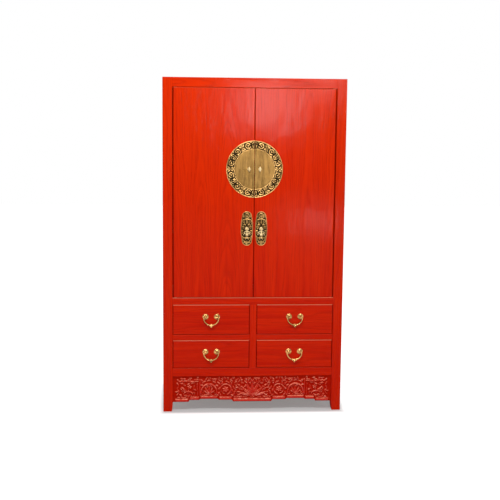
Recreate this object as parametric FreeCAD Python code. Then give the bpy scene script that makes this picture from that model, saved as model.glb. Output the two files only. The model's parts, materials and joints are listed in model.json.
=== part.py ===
import FreeCAD, Part
import math
import os

# Red lacquered wedding cabinet: four square posts, two pivot doors over four drawers, carved apron.
# X runs across the front, Y from the front (negative) to the back, Z up from the floor.
# The origin is on the floor, under the middle of the whole box, pulls included.

Vector = FreeCAD.Vector
origin = Vector(0, 0, 0)
to_right = Vector(1, 0, 0)
to_front = Vector(0, -1, 0)
to_back = Vector(0, 1, 0)
upward = Vector(0, 0, 1)
downward = Vector(0, 0, -1)

# Case
case_width = 1040.0
case_height = 1925.0
case_depth = 560.0

# Posts and feet
post_side = 55.0
post_edge_round = 1.6
foot_taper_height = 52.0
foot_taper_inset = 6.0
foot_taper_bow = 1.2

# Front frame, from the floor up
leg_height = 210.0
bottom_rail_height = 48.0
lower_drawer_opening = 167.0
drawer_rail_height = 32.0
upper_drawer_opening = 178.0
sill_rail_height = 40.0
top_rail_height = 54.0
front_rail_depth = 45.0
stile_width = 40.0
frame_edge_round = 1.2
sill_edge_round = 3.0

# Side and back frames
side_rail_depth = 35.0
top_side_rail_depth = 45.0
back_rail_depth = 30.0
back_middle_rail_height = 40.0
back_middle_rail_level_share = 0.485

# Mortise and tenon joints
tenon_thickness = 14.0
tenon_face_shoulder = 10.0
tenon_edge_shoulder = 8.0
tenon_meeting_room = 3.0
stub_tenon_length = 12.0
mortise_end_room = 1.0

# Panels and boards in grooves
panel_thickness = 10.0
panel_setback = 8.0
panel_tongue = 8.0
groove_end_room = 1.0
board_room = 1.0
top_panel_thickness = 14.0
top_panel_tongue_thickness = 8.0
top_panel_drop = 2.0
floor_thickness = 14.0
floor_drop = 10.0

# Shelves and their battens
shelf_thickness = 16.0
lower_shelf_level_share = 0.322
upper_shelf_level_share = 0.66
shelf_front_setback = 62.0
shelf_bearing = 14.0
shelf_batten_width = 24.0
shelf_batten_height = 26.0
shelf_batten_tenon = 10.0

# Doors
door_thickness = 25.0
door_setback = 1.0
door_gap = 2.0
door_meeting_gap = 2.0
door_edge_round = 3.0
door_hinge_edge_round = 9.0
pivot_edge_distance = 14.0
pivot_radius = 8.0
pivot_running_gap = 0.08
pivot_reach = 14.0
pivot_root = 26.0
pivot_end_room = 1.0
door_batten_width = 46.0
door_batten_proud = 16.0
door_batten_key = 9.0
door_batten_flare = 4.0
door_batten_end_margin = 40.0
door_batten_inset = 190.0
door_batten_edge_round = 3.0
door_stop_length = 120.0
door_stop_depth = 17.0
door_stop_height = 14.0
door_stop_gap = 0.3

# Round face plate in two halves
face_plate_radius = 161.5
face_plate_level_share = 0.6187
face_plate_thickness = 1.5
face_plate_seam = 3.0
face_plate_rim_width = 4.0
face_plate_rim_height = 2.5
face_plate_band_width = 48.0
face_plate_band_lip_width = 2.5
face_plate_band_lip_height = 1.2
face_plate_flower_count = 12
face_plate_flower_radius = 14.0
face_plate_flower_height = 1.8
face_plate_flower_bevel = 6.0

# Lock eyes
lock_eye_offset = 31.0
lock_eye_width = 9.0
lock_eye_height = 24.0
lock_eye_reach = 18.0
lock_eye_nose_round = 9.0
lock_eye_edge_round = 1.0
lock_eye_hole_radius = 4.0
lock_eye_hole_standoff = 9.0
lock_eye_collar_radius = 9.5
lock_eye_collar_thickness = 1.5
lock_eye_shank_radius = 3.0
lock_eye_shank_length = 18.0

# Long plates that carry the door drops
pull_plate_length = 197.0
pull_plate_waist_width = 70.0
pull_plate_end_width = 56.0
pull_plate_thickness = 1.5
pull_plate_rim_width = 3.0
pull_plate_rim_height = 2.0
pull_plate_centre_gap = 6.0
pull_plate_drop = 78.0

# Staples that hold the drops
staple_rise = -2.0
staple_standoff = 12.5
staple_pin_radius = 2.0
staple_ear_thickness = 3.0
staple_ear_height = 11.0
staple_collar_radius = 10.5
staple_collar_thickness = 1.5
staple_shank_radius = 2.5
staple_shank_length = 16.0

# Door drops
drop_eye_radius = 5.0
drop_eye_width = 7.0
drop_running_gap = 0.06
drop_side_gap = 0.4
drop_neck_radius = 3.2
drop_wing_width = 36.0
drop_wing_height = 15.0
drop_wing_thickness = 5.0
drop_wing_level = 21.0
drop_bulb_radius = 9.0
drop_bulb_height = 20.0
drop_bulb_level = 32.5
drop_bulb_lip = 1.4
drop_tip_radius = 3.5
drop_tip_level = 52.0

# Tacks
tack_head_radius = 2.8
tack_head_height = 1.4
tack_shank_radius = 0.9
tack_shank_length = 12.0
tack_edge_distance = 10.0

# Drawers
drawer_gap = 1.5
drawer_setback = 0.5
drawer_front_thickness = 20.0
drawer_front_edge_round = 4.0
drawer_back_room = 29.5
drawer_side_thickness = 12.0
drawer_side_inset = 0.5
drawer_side_drop = 14.0
drawer_bottom_thickness = 7.0
drawer_bottom_rise = 8.0
drawer_bottom_tongue = 6.0
drawer_back_drop = 6.0
dovetail_count = 3
dovetail_length = 12.0
dovetail_flare = 2.5
dovetail_share = 0.55

# Drawer runners, guides and stops
runner_thickness = 20.0
runner_width = 30.0
runner_running_gap = 0.3
guide_height = 20.0
guide_rail_room = 4.5
guide_side_gap = 1.5
drawer_stop_height = 15.0
drawer_stop_gap = 0.5
drawer_stop_length = 14.0

# Drawer pulls
pull_post_spacing = 66.0
upper_pull_rise = 17.0
lower_pull_rise = 14.5
rosette_radius = 17.5
rosette_height = 5.5
rosette_rim_height = 1.2
pull_post_radius = 3.6
pull_post_ball_radius = 6.0
pull_post_end_cover = 3.0
bail_standoff = 16.0
bail_rod_radius = 3.3
bail_knuckle_swell = 0.5
bail_stub_radius = 2.4
bail_running_gap = 0.06
bail_side_gap = 0.4
bail_stub_reach = 5.0
bail_drop = 47.0
bail_bead_half_length = 13.5
bail_bead_radius = 8.5
bail_bead_lip = 1.2
bail_bud_radius = 5.5
bail_bud_drop = 9.0

# Front apron
apron_thickness = 16.0
apron_setback = 9.0
apron_tongue = 8.0
apron_tongue_thickness = 8.0
apron_bead_height = 21.0
apron_bead_raise = 5.0
apron_bead_bevel = 4.5
apron_relief_raise = 4.0
apron_low_level = 53.0
apron_middle_level = 64.0
apron_high_level = 70.0
apron_centre_end_share = 0.241
apron_inner_end_share = 0.428
apron_outer_start_share = 0.6645
apron_side_start_share = 0.8043
apron_step_run = 7.0
apron_end_margin = 12.0
apron_carving_top_margin = 23.0
apron_ring_outer_height = 62.0
apron_ring_outer_width = 54.0
apron_ring_band = 13.0
apron_ring_level = 130.0
apron_divider_width = 9.0
apron_petal_length = 66.0
apron_petal_width = 20.0
apron_petal_root_level = 84.0
apron_petal_count = 7
apron_petal_step_angle = 24.0
apron_stem_width = 12.0

# Side aprons
side_apron_thickness = 14.0
side_apron_end_height = 96.0
side_apron_middle_height = 62.0
side_apron_step_run = 40.0
side_apron_end_run = 60.0

# Overrun of cuts, and the reach inside which an edge counts as lying on a plane
cut_overrun = 5.0
edge_finding_reach = 0.01

# Heights and planes that follow from the sizes above
bail_reach = bail_standoff + bail_bead_radius - drawer_setback
drop_reach = pull_plate_thickness + staple_standoff + drop_bulb_radius - door_setback
lock_eye_front_reach = face_plate_thickness + lock_eye_reach - door_setback
front_hardware_reach = max(bail_reach, drop_reach, lock_eye_front_reach)
front_y = (front_hardware_reach - case_depth) / 2
back_y = front_y + case_depth
half_width = case_width / 2
inner_half = half_width - post_side
front_post_back_y = front_y + post_side
back_post_front_y = back_y - post_side
bottom_rail_top = leg_height + bottom_rail_height
drawer_rail_bottom = bottom_rail_top + lower_drawer_opening
drawer_rail_top = drawer_rail_bottom + drawer_rail_height
sill_bottom = drawer_rail_top + upper_drawer_opening
sill_top = sill_bottom + sill_rail_height
top_rail_bottom = case_height - top_rail_height
groove_depth = panel_tongue + groove_end_room
half_stile = stile_width / 2
rail_back_y = front_y + front_rail_depth
back_rail_front_y = back_y - back_rail_depth
door_front_y = front_y + door_setback
door_back_y = door_front_y + door_thickness
drawer_front_y = front_y + drawer_setback
drawer_length = back_rail_front_y - drawer_back_room - drawer_front_y
tenon_length = post_side - tenon_face_shoulder - tenon_thickness - tenon_meeting_room
bay_height = top_rail_bottom - sill_top
back_middle_rail_level = sill_top + bay_height * back_middle_rail_level_share
lower_shelf_level = sill_top + bay_height * lower_shelf_level_share
upper_shelf_level = sill_top + bay_height * upper_shelf_level_share
face_plate_level = sill_top + bay_height * face_plate_level_share
pull_plate_level = face_plate_level - face_plate_radius - pull_plate_drop - pull_plate_length / 2
pull_plate_offset = pull_plate_centre_gap + pull_plate_waist_width / 2
staple_level = pull_plate_level + staple_rise
pull_post_root = drawer_front_thickness - pull_post_end_cover
apron_centre_end = inner_half * apron_centre_end_share
apron_inner_end = inner_half * apron_inner_end_share
apron_outer_start = inner_half * apron_outer_start_share
apron_side_start = inner_half * apron_side_start_share
apron_carving_top = leg_height - apron_carving_top_margin


def block(x0, x1, y0, y1, z0, z1):
    return Part.makeBox(x1 - x0, y1 - y0, z1 - z0, Vector(x0, y0, z0))


def mirrored(shape):
    return shape.mirror(origin, to_right)


def both_sides(shape):
    return [mirrored(shape), shape]


def cut_all(shape, cutters):
    for cutter in cutters:
        shape = shape.cut(cutter)
    return shape


def fuse_all(shapes):
    result = shapes[0]
    for shape in shapes[1:]:
        result = result.fuse(shape)
    return result.removeSplitter()


def lies_on(low, high, value):
    return value is None or max(abs(low - value), abs(high - value)) < edge_finding_reach


def edges_at(shape, x=None, y=None, z=None):
    found = []
    for edge in shape.Edges:
        box = edge.BoundBox
        on_x = lies_on(box.XMin, box.XMax, x)
        on_y = lies_on(box.YMin, box.YMax, y)
        on_z = lies_on(box.ZMin, box.ZMax, z)
        if on_x and on_y and on_z:
            found.append(edge)
    return found


def round_long_edges(shape, radius, x=(None,), y=(None,), z=(None,)):
    edges = []
    for one_x in x:
        for one_y in y:
            for one_z in z:
                edges += edges_at(shape, one_x, one_y, one_z)
    return shape.makeFillet(radius, edges)


def rod(radius, length, start, direction):
    return Part.makeCylinder(radius, length, start, direction)


def turned_bead(half_length, end_radius, middle_radius, centre, along_x):
    # A barrel turned about the X or the Z axis, swelling from its ends to its middle
    def at(along, radius):
        return Vector(along, 0, radius) if along_x else Vector(radius, 0, along)

    low = at(-half_length, end_radius)
    high = at(half_length, end_radius)
    edges = [Part.makeLine(at(-half_length, 0), low),
             Part.Arc(low, at(0, middle_radius), high).toShape(),
             Part.makeLine(high, at(half_length, 0)),
             Part.makeLine(at(half_length, 0), at(-half_length, 0))]
    bead = Part.Face(Part.Wire(edges)).revolve(origin, at(1, 0), 360)
    bead.translate(centre)
    return bead


def domed_cap(radius, height, centre):
    # A shallow dome that stands out to the front from a flat round base
    ball_radius = (radius * radius + height * height) / (2 * height)
    half_rise = math.asin(radius / ball_radius) / 2
    side = Vector(ball_radius * math.sin(half_rise), ball_radius * (1 - math.cos(half_rise)) - height, 0)
    edges = [Part.makeLine(origin, Vector(radius, 0, 0)),
             Part.Arc(Vector(radius, 0, 0), side, Vector(0, -height, 0)).toShape(),
             Part.makeLine(Vector(0, -height, 0), origin)]
    cap = Part.Face(Part.Wire(edges)).revolve(origin, to_back, 360)
    cap.translate(centre)
    return cap


def outline_plate(points, y0, y1):
    # A flat plate in the plane of the front, from points given as (x, z)
    corners = [Vector(x, y0, z) for x, z in points]
    face = Part.Face(Part.makePolygon(corners + [corners[0]]))
    return face.extrude(Vector(0, y1 - y0, 0))


def side_plate(points, x0, x1):
    # A flat plate square to the front, from points given as (y, z)
    corners = [Vector(x0, y, z) for y, z in points]
    face = Part.Face(Part.makePolygon(corners + [corners[0]]))
    return face.extrude(Vector(x1 - x0, 0, 0))


def save(node, solids):
    shape = solids[0] if len(solids) == 1 else Part.makeCompound(solids)
    shape.exportStep("parts/" + node + ".step")


# One through box holds the tenons at both ends, the longer one is the mortise cutter

def front_tenon(x0, x1, z0, z1, length):
    y0 = front_y + tenon_face_shoulder
    return block(x0 - length, x1 + length, y0, y0 + tenon_thickness,
                 z0 + tenon_edge_shoulder, z1 - tenon_edge_shoulder)


def back_tenon(z0, z1, length):
    y1 = back_y - tenon_face_shoulder
    return block(-inner_half - length, inner_half + length, y1 - tenon_thickness, y1,
                 z0 + tenon_edge_shoulder, z1 - tenon_edge_shoulder)


def side_tenon(z0, z1, length):
    x1 = half_width - tenon_face_shoulder
    return block(x1 - tenon_thickness, x1, front_post_back_y - length, back_post_front_y + length,
                 z0 + tenon_edge_shoulder, z1 - tenon_edge_shoulder)


def drawer_rail_tenon(end_room):
    box = front_tenon(half_stile, inner_half, drawer_rail_bottom, drawer_rail_top, tenon_length + end_room)
    return box.cut(block(-half_width, half_stile - stub_tenon_length - end_room,
                         front_y, back_y, 0, case_height))


def stile_tenon(end_room):
    y0 = front_y + tenon_face_shoulder
    half_tenon = half_stile - tenon_edge_shoulder
    reach = stub_tenon_length + end_room
    return block(-half_tenon, half_tenon, y0, y0 + tenon_thickness,
                 bottom_rail_top - reach, sill_bottom + reach)


# Grooves: a panel reaches in by its tongue, and the groove is deeper by its end room

def side_panel_box(z0, z1, reach):
    x1 = half_width - panel_setback
    return block(x1 - panel_thickness, x1, front_post_back_y - reach, back_post_front_y + reach,
                 z0 - reach, z1 + reach)


def back_panel_box(z0, z1, reach):
    y1 = back_y - panel_setback
    return block(-inner_half - reach, inner_half + reach, y1 - panel_thickness, y1, z0 - reach, z1 + reach)


def top_panel_tongue_box(reach):
    z1 = case_height - top_panel_drop - (top_panel_thickness - top_panel_tongue_thickness) / 2
    half_x = half_width - top_side_rail_depth + reach
    return block(-half_x, half_x, rail_back_y - reach, back_y - front_rail_depth + reach,
                 z1 - top_panel_tongue_thickness, z1)


def floor_box(reach):
    z1 = sill_top - floor_drop
    half_x = half_width - side_rail_depth + reach
    return block(-half_x, half_x, rail_back_y - reach, back_rail_front_y + reach,
                 z1 - floor_thickness, z1)


back_bays = [
    (bottom_rail_top, drawer_rail_bottom),
    (drawer_rail_top, sill_bottom),
    (sill_top, back_middle_rail_level - back_middle_rail_height / 2),
    (back_middle_rail_level + back_middle_rail_height / 2, top_rail_bottom),
]
back_rail_levels = [
    (leg_height, bottom_rail_top),
    (drawer_rail_bottom, drawer_rail_top),
    (sill_bottom, sill_top),
    (back_middle_rail_level - back_middle_rail_height / 2,
     back_middle_rail_level + back_middle_rail_height / 2),
]
side_bays = [(bottom_rail_top, sill_bottom), (sill_top, top_rail_bottom)]
side_rail_levels = [(leg_height, bottom_rail_top), (sill_bottom, sill_top)]
top_level = (top_rail_bottom, case_height)
front_rail_levels = [(leg_height, bottom_rail_top), (sill_bottom, sill_top), top_level]
shelf_levels = [lower_shelf_level, upper_shelf_level]


# Shelf battens are tenoned between the front and back posts

def shelf_batten_core(level, reach, shoulder):
    x0 = inner_half + board_room
    return block(x0 + shoulder, x0 + shelf_batten_width - shoulder,
                 front_post_back_y - reach, back_post_front_y + reach,
                 level - shelf_batten_height + shoulder, level - shoulder)


def shelf_batten(level):
    body = shelf_batten_core(level, 0, 0)
    return body.fuse(shelf_batten_core(level, shelf_batten_tenon, tenon_edge_shoulder / 2))


# Apron boards are tongued into the posts

def front_apron_tongue(reach):
    y0 = front_y + apron_setback + (apron_thickness - apron_tongue_thickness) / 2
    return block(-inner_half - reach, inner_half + reach, y0, y0 + apron_tongue_thickness,
                 apron_low_level + apron_bead_height, leg_height)


def side_apron_tongue(reach):
    x1 = half_width - apron_setback - (side_apron_thickness - apron_tongue_thickness) / 2
    return block(x1 - apron_tongue_thickness, x1, front_post_back_y - reach, back_post_front_y + reach,
                 leg_height - side_apron_middle_height, leg_height)


# Posts

def foot_taper_cutter(y0, y1):
    # The inner side of each foot curves in towards the floor
    top = Vector(inner_half, y0, foot_taper_height)
    bottom = Vector(inner_half + foot_taper_inset, y0, 0)
    middle = Vector(inner_half + foot_taper_inset / 2 - foot_taper_bow, y0, foot_taper_height / 2)
    curve = Part.Arc(top, middle, bottom).toShape()
    low = Vector(inner_half + foot_taper_inset, y0, -cut_overrun)
    low_in = Vector(inner_half - cut_overrun, y0, -cut_overrun)
    high_in = Vector(inner_half - cut_overrun, y0, foot_taper_height)
    sides = [Part.makeLine(bottom, low), Part.makeLine(low, low_in),
             Part.makeLine(low_in, high_in), Part.makeLine(high_in, top)]
    return Part.Face(Part.Wire([curve] + sides)).extrude(Vector(0, y1 - y0, 0))


def right_post(y0):
    post = block(inner_half, half_width, y0, y0 + post_side, 0, case_height)
    edges = edges_at(post, x=half_width)
    edges += edges_at(post, x=inner_half, y=y0) + edges_at(post, x=inner_half, y=y0 + post_side)
    post = post.makeFillet(post_edge_round, edges)
    return post.cut(foot_taper_cutter(y0 - cut_overrun, y0 + post_side + cut_overrun))


def side_frame_cutters():
    reach = tenon_length + mortise_end_room
    cutters = [side_tenon(z0, z1, reach) for z0, z1 in side_rail_levels + [top_level]]
    cutters += [side_panel_box(z0, z1, groove_depth) for z0, z1 in side_bays]
    cutters += [shelf_batten_core(level, shelf_batten_tenon + mortise_end_room, tenon_edge_shoulder / 2)
                for level in shelf_levels]
    cutters.append(side_apron_tongue(apron_tongue + groove_end_room))
    return cutters


def front_post():
    reach = tenon_length + mortise_end_room
    cutters = [front_tenon(-inner_half, inner_half, z0, z1, reach) for z0, z1 in front_rail_levels]
    cutters.append(drawer_rail_tenon(mortise_end_room))
    cutters.append(front_apron_tongue(apron_tongue + groove_end_room))
    return cut_all(right_post(front_y), cutters + side_frame_cutters())


def back_post():
    reach = tenon_length + mortise_end_room
    cutters = [back_tenon(z0, z1, reach) for z0, z1 in back_rail_levels + [top_level]]
    cutters += [back_panel_box(z0, z1, groove_depth) for z0, z1 in back_bays]
    return cut_all(right_post(back_post_front_y), cutters + side_frame_cutters())


def make_posts():
    left, right = both_sides(front_post())
    save("front_left_post", [left])
    save("front_right_post", [right])
    left, right = both_sides(back_post())
    save("back_left_post", [left])
    save("back_right_post", [right])


# Front rails and the centre stile

def front_rail(z0, z1, top_round):
    rail = block(-inner_half, inner_half, front_y, rail_back_y, z0, z1)
    rail = rail.makeFillet(top_round, edges_at(rail, y=front_y, z=z1))
    rail = rail.makeFillet(frame_edge_round, edges_at(rail, y=front_y, z=z0))
    return rail.fuse(front_tenon(-inner_half, inner_half, z0, z1, tenon_length))


def pivot_x():
    return inner_half - door_gap - pivot_edge_distance


def pivot_y():
    return door_front_y + door_thickness / 2


def pivot_sockets(z0, direction):
    depth = pivot_reach + pivot_end_room
    sockets = []
    for x in (-pivot_x(), pivot_x()):
        sockets.append(rod(pivot_radius + pivot_running_gap, depth, Vector(x, pivot_y(), z0), direction))
    return sockets


def make_front_frame():
    top = front_rail(*top_level, frame_edge_round)
    save("top_front_rail", [cut_all(top, pivot_sockets(top_rail_bottom, upward)
                                    + [top_panel_tongue_box(groove_depth)])])
    sill = front_rail(sill_bottom, sill_top, sill_edge_round)
    save("door_sill_rail", [cut_all(sill, pivot_sockets(sill_top, downward)
                                    + [floor_box(groove_depth), stile_tenon(mortise_end_room)])])
    bottom = front_rail(leg_height, bottom_rail_top, frame_edge_round)
    save("bottom_front_rail", [bottom.cut(stile_tenon(mortise_end_room))])
    rail = block(half_stile, inner_half, front_y, rail_back_y, drawer_rail_bottom, drawer_rail_top)
    rail = round_long_edges(rail, frame_edge_round, y=(front_y,), z=(drawer_rail_bottom, drawer_rail_top))
    rail = rail.fuse(drawer_rail_tenon(0))
    save("drawer_rails", both_sides(rail))
    stile = block(-half_stile, half_stile, front_y, rail_back_y, bottom_rail_top, sill_bottom)
    stile = round_long_edges(stile, frame_edge_round, x=(-half_stile, half_stile), y=(front_y,))
    stile = stile.fuse(stile_tenon(0))
    mortise = drawer_rail_tenon(mortise_end_room)
    save("center_stile", [cut_all(stile, both_sides(mortise))])


# Back rails, side rails and the top frame

def back_rail(z0, z1, depth):
    rail = block(-inner_half, inner_half, back_y - depth, back_y, z0, z1)
    rail = round_long_edges(rail, frame_edge_round, y=(back_y,), z=(z0, z1))
    return rail.fuse(back_tenon(z0, z1, tenon_length))


def side_rail(z0, z1, depth):
    rail = block(half_width - depth, half_width, front_post_back_y, back_post_front_y, z0, z1)
    rail = round_long_edges(rail, frame_edge_round, x=(half_width,), z=(z0, z1))
    return rail.fuse(side_tenon(z0, z1, tenon_length))


def make_back_and_sides():
    back_grooves = [back_panel_box(z0, z1, groove_depth) for z0, z1 in back_bays]
    side_grooves = [side_panel_box(z0, z1, groove_depth) for z0, z1 in side_bays]
    top_groove = top_panel_tongue_box(groove_depth)
    top_back = back_rail(*top_level, front_rail_depth)
    save("top_back_rail", [cut_all(top_back, back_grooves + [top_groove])])
    top_side = side_rail(*top_level, top_side_rail_depth)
    save("top_side_rails", both_sides(cut_all(top_side, side_grooves + [top_groove])))
    floor_groove = floor_box(groove_depth)
    rails = [back_rail(z0, z1, back_rail_depth) for z0, z1 in back_rail_levels]
    save("back_cross_rails", [cut_all(rail, back_grooves + [floor_groove]) for rail in rails])
    rails = []
    for z0, z1 in side_rail_levels:
        rails += both_sides(cut_all(side_rail(z0, z1, side_rail_depth), side_grooves + [floor_groove]))
    save("side_cross_rails", rails)
    lower, upper = [side_panel_box(z0, z1, panel_tongue) for z0, z1 in side_bays]
    save("lower_side_panels", both_sides(lower))
    save("upper_side_panels", both_sides(upper))
    save("back_panels", [back_panel_box(z0, z1, panel_tongue) for z0, z1 in back_bays])


# Boards inside the case

def clear_of_posts(board):
    x0 = inner_half - board_room
    front = block(x0, half_width, front_y, front_post_back_y + board_room, 0, case_height)
    back = block(x0, half_width, back_post_front_y - board_room, back_y, 0, case_height)
    return cut_all(board, both_sides(front) + both_sides(back))


def shelf(level):
    half_x = inner_half + board_room + shelf_bearing
    board = block(-half_x, half_x, front_y + shelf_front_setback, back_rail_front_y - board_room,
                  level, level + shelf_thickness)
    board = round_long_edges(board, frame_edge_round, y=(front_y + shelf_front_setback,),
                             z=(level, level + shelf_thickness))
    return clear_of_posts(board)


def make_boards():
    half_x = half_width - top_side_rail_depth - board_room
    z1 = case_height - top_panel_drop
    panel = block(-half_x, half_x, rail_back_y + board_room, back_y - front_rail_depth - board_room,
                  z1 - top_panel_thickness, z1)
    save("top_panel", [clear_of_posts(panel.fuse(top_panel_tongue_box(panel_tongue)))])
    save("compartment_floor", [clear_of_posts(floor_box(panel_tongue))])
    save("lower_shelf", [shelf(lower_shelf_level)])
    save("upper_shelf", [shelf(upper_shelf_level)])
    battens = []
    for level in shelf_levels:
        battens += both_sides(shelf_batten(level))
    save("shelf_battens", battens)
    half_stop = door_stop_length / 2
    stop_y = door_back_y + door_stop_gap
    stops = [block(-half_stop, half_stop, stop_y, stop_y + door_stop_depth, z0, z0 + door_stop_height)
             for z0 in (sill_top, top_rail_bottom - door_stop_height)]
    save("door_stops", stops)


# Runners, guides and stops for the drawers

def runner_top(opening_bottom):
    return opening_bottom + drawer_gap - runner_running_gap


def make_runners():
    runners = []
    guides = []
    drawer_end = drawer_front_y + drawer_length
    side_x1 = inner_half - drawer_gap - drawer_side_inset
    guide_x0 = side_x1 + guide_side_gap
    guide_x1 = half_width - side_rail_depth - guide_rail_room
    side_x0 = half_stile + drawer_gap + drawer_side_inset
    centre_half = side_x0 + drawer_side_thickness
    for opening_bottom in (bottom_rail_top, drawer_rail_top):
        top = runner_top(opening_bottom)
        low = top - runner_thickness
        side_runner = block(guide_x0 - runner_width, guide_x0, rail_back_y, back_rail_front_y, low, top)
        runners += both_sides(side_runner)
        runners.append(block(-centre_half, centre_half, rail_back_y, back_rail_front_y, low, top))
        side_guide = block(guide_x0, guide_x1, front_post_back_y, back_post_front_y,
                           low, top + guide_height)
        guides += both_sides(side_guide)
        guide_half = side_x0 - guide_side_gap
        guides.append(block(-guide_half, guide_half, rail_back_y, back_rail_front_y,
                            top, top + guide_height))
        stop_y = drawer_end + drawer_stop_gap
        for x1 in (side_x1, side_x0 + drawer_side_thickness):
            stop = block(x1 - drawer_side_thickness, x1, stop_y, stop_y + drawer_stop_length,
                         top, top + drawer_stop_height)
            guides += both_sides(stop)
    save("drawer_runners", runners)
    save("drawer_guides", guides)


# Front apron with its stepped edge, bead and carved relief

def apron_segments():
    # Straight runs of the lower edge, from the middle outwards: start, end and level
    run = apron_step_run
    return [
        (0, apron_centre_end, apron_low_level),
        (apron_centre_end + run, apron_inner_end - run / 2, apron_middle_level),
        (apron_inner_end + run / 2, apron_outer_start - run / 2, apron_high_level),
        (apron_outer_start + run / 2, apron_side_start - run, apron_middle_level),
        (apron_side_start, inner_half, apron_low_level),
    ]


def apron_outline():
    right = []
    for start, end, level in apron_segments():
        right += [(start, level), (end, level)]
    right = right[1:]
    left = [(-x, z) for x, z in right]
    return [(-inner_half, leg_height)] + left[::-1] + right + [(inner_half, leg_height)]


def bevelled_block(x0, x1, z0, z1, y_back, y_front, bevel):
    piece = block(x0, x1, y_front, y_back, z0, z1)
    return piece.makeChamfer(bevel, edges_at(piece, y=y_front))


def apron_beads(y_face):
    beads = []
    for start, end, level in apron_segments():
        reach = min(end, inner_half - apron_end_margin)
        low = -reach if start == 0 else start
        bead = bevelled_block(low, reach, level, level + apron_bead_height, y_face,
                              y_face - apron_bead_raise, apron_bead_bevel)
        beads += [bead] if start == 0 else both_sides(bead)
    return beads


def raised_ellipse(half_x, half_z, y_face, raise_height):
    plate = rod(half_x, raise_height, Vector(0, y_face, 0), to_front)
    stretch = FreeCAD.Matrix()
    stretch.scale(1, 1, half_z / half_x)
    return plate.transformGeometry(stretch)


def apron_carving(y_face):
    shapes = []
    # Oval rings beside the middle
    half_x = apron_ring_outer_width / 2
    half_z = apron_ring_outer_height / 2
    ring = raised_ellipse(half_x, half_z, y_face, apron_relief_raise)
    ring = ring.cut(raised_ellipse(half_x - apron_ring_band, half_z - apron_ring_band, y_face,
                                   apron_relief_raise))
    ring.translate(Vector((apron_centre_end + apron_inner_end) / 2, 0, apron_ring_level))
    shapes += both_sides(ring)
    # Palmette in the middle
    for index in range(apron_petal_count):
        turn = (index - (apron_petal_count - 1) / 2) * apron_petal_step_angle
        petal = raised_ellipse(apron_petal_width / 2, apron_petal_length / 2, y_face, apron_relief_raise)
        petal.translate(Vector(0, 0, apron_petal_length / 2))
        petal.rotate(origin, to_back, turn)
        petal.translate(Vector(0, 0, apron_petal_root_level))
        shapes.append(petal)
    # Arched stems over the high runs
    span_middle = (apron_inner_end + apron_outer_start) / 2
    stem_root = apron_high_level + apron_bead_height
    stem_radius = (apron_outer_start - apron_inner_end + apron_step_run) / 2
    stem_centre = Vector(span_middle, y_face, stem_root)
    stem = rod(stem_radius, apron_relief_raise, stem_centre, to_front)
    stem = stem.cut(rod(stem_radius - apron_stem_width, apron_relief_raise, stem_centre, to_front))
    stem = stem.common(block(0, half_width, y_face - apron_relief_raise, y_face, stem_root, leg_height))
    shapes += both_sides(stem)
    # End blocks with stepped tops, and the dividers beside them
    divider = block(apron_outer_start, apron_outer_start + apron_divider_width, y_face - apron_relief_raise,
                    y_face, apron_middle_level + apron_bead_height, apron_carving_top)
    shapes += both_sides(divider)
    low = apron_outer_start + apron_divider_width * 2
    high = inner_half - apron_end_margin * 2
    step = apron_divider_width
    top = apron_carving_top
    floor = apron_middle_level + apron_bead_height + step
    tab = step * 2
    points = [(low, floor), (high, floor), (high, top), (high - tab, top), (high - tab, top - step),
              (high - tab * 2, top - step), (high - tab * 2, top), (low + tab, top),
              (low + tab, top - tab), (low, top - tab)]
    end_block = outline_plate(points, y_face - apron_relief_raise, y_face)
    shapes += both_sides(end_block)
    return shapes


def make_front_apron():
    y_face = front_y + apron_setback
    board = outline_plate(apron_outline(), y_face, y_face + apron_thickness)
    pieces = [board, front_apron_tongue(apron_tongue)] + apron_beads(y_face) + apron_carving(y_face)
    save("front_apron", [fuse_all(pieces)])


def make_side_aprons():
    x1 = half_width - apron_setback
    y0 = front_post_back_y
    y1 = back_post_front_y
    low = leg_height - side_apron_end_height
    high = leg_height - side_apron_middle_height
    inner = side_apron_end_run + side_apron_step_run
    points = [(y0, leg_height), (y0, low), (y0 + side_apron_end_run, low), (y0 + inner, high),
              (y1 - inner, high), (y1 - side_apron_end_run, low), (y1, low), (y1, leg_height)]
    board = side_plate(points, x1 - side_apron_thickness, x1)
    save("side_aprons", both_sides(board.fuse(side_apron_tongue(apron_tongue))))


# Doors: everything is built for the right door, and the left door mirrors it

door_x0 = door_meeting_gap / 2
door_x1 = inner_half - door_gap
door_z0 = sill_top + door_gap
door_z1 = top_rail_bottom - door_gap
batten_levels = [door_z0 + door_batten_inset, door_z1 - door_batten_inset]


def door_batten(level):
    # A sliding batten: its dovetailed key fits a slot across the back of the leaf
    half = door_batten_width / 2
    x0 = door_x0 + door_batten_end_margin
    x1 = door_x1 - door_batten_end_margin
    proud = block(x0, x1, door_back_y, door_back_y + door_batten_proud, level - half, level + half)
    proud = round_long_edges(proud, door_batten_edge_round, y=(door_back_y + door_batten_proud,),
                             z=(level - half, level + half))
    root = half - door_batten_flare * 2
    wide = half - door_batten_flare
    y0 = door_back_y - door_batten_key
    points = [(door_back_y, level - root), (door_back_y, level + root),
              (y0, level + wide), (y0, level - wide)]
    return proud.fuse(side_plate(points, x0, x1))


def face_tack_places():
    # One tack between each two flowers of the half plate
    places = []
    radius = face_plate_radius - face_plate_rim_width - tack_edge_distance / 2
    for index in range(face_plate_flower_count):
        angle = math.radians(index * 360 / face_plate_flower_count)
        x = radius * math.cos(angle)
        if x > tack_edge_distance:
            places.append((x, face_plate_level + radius * math.sin(angle)))
    return places


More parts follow.
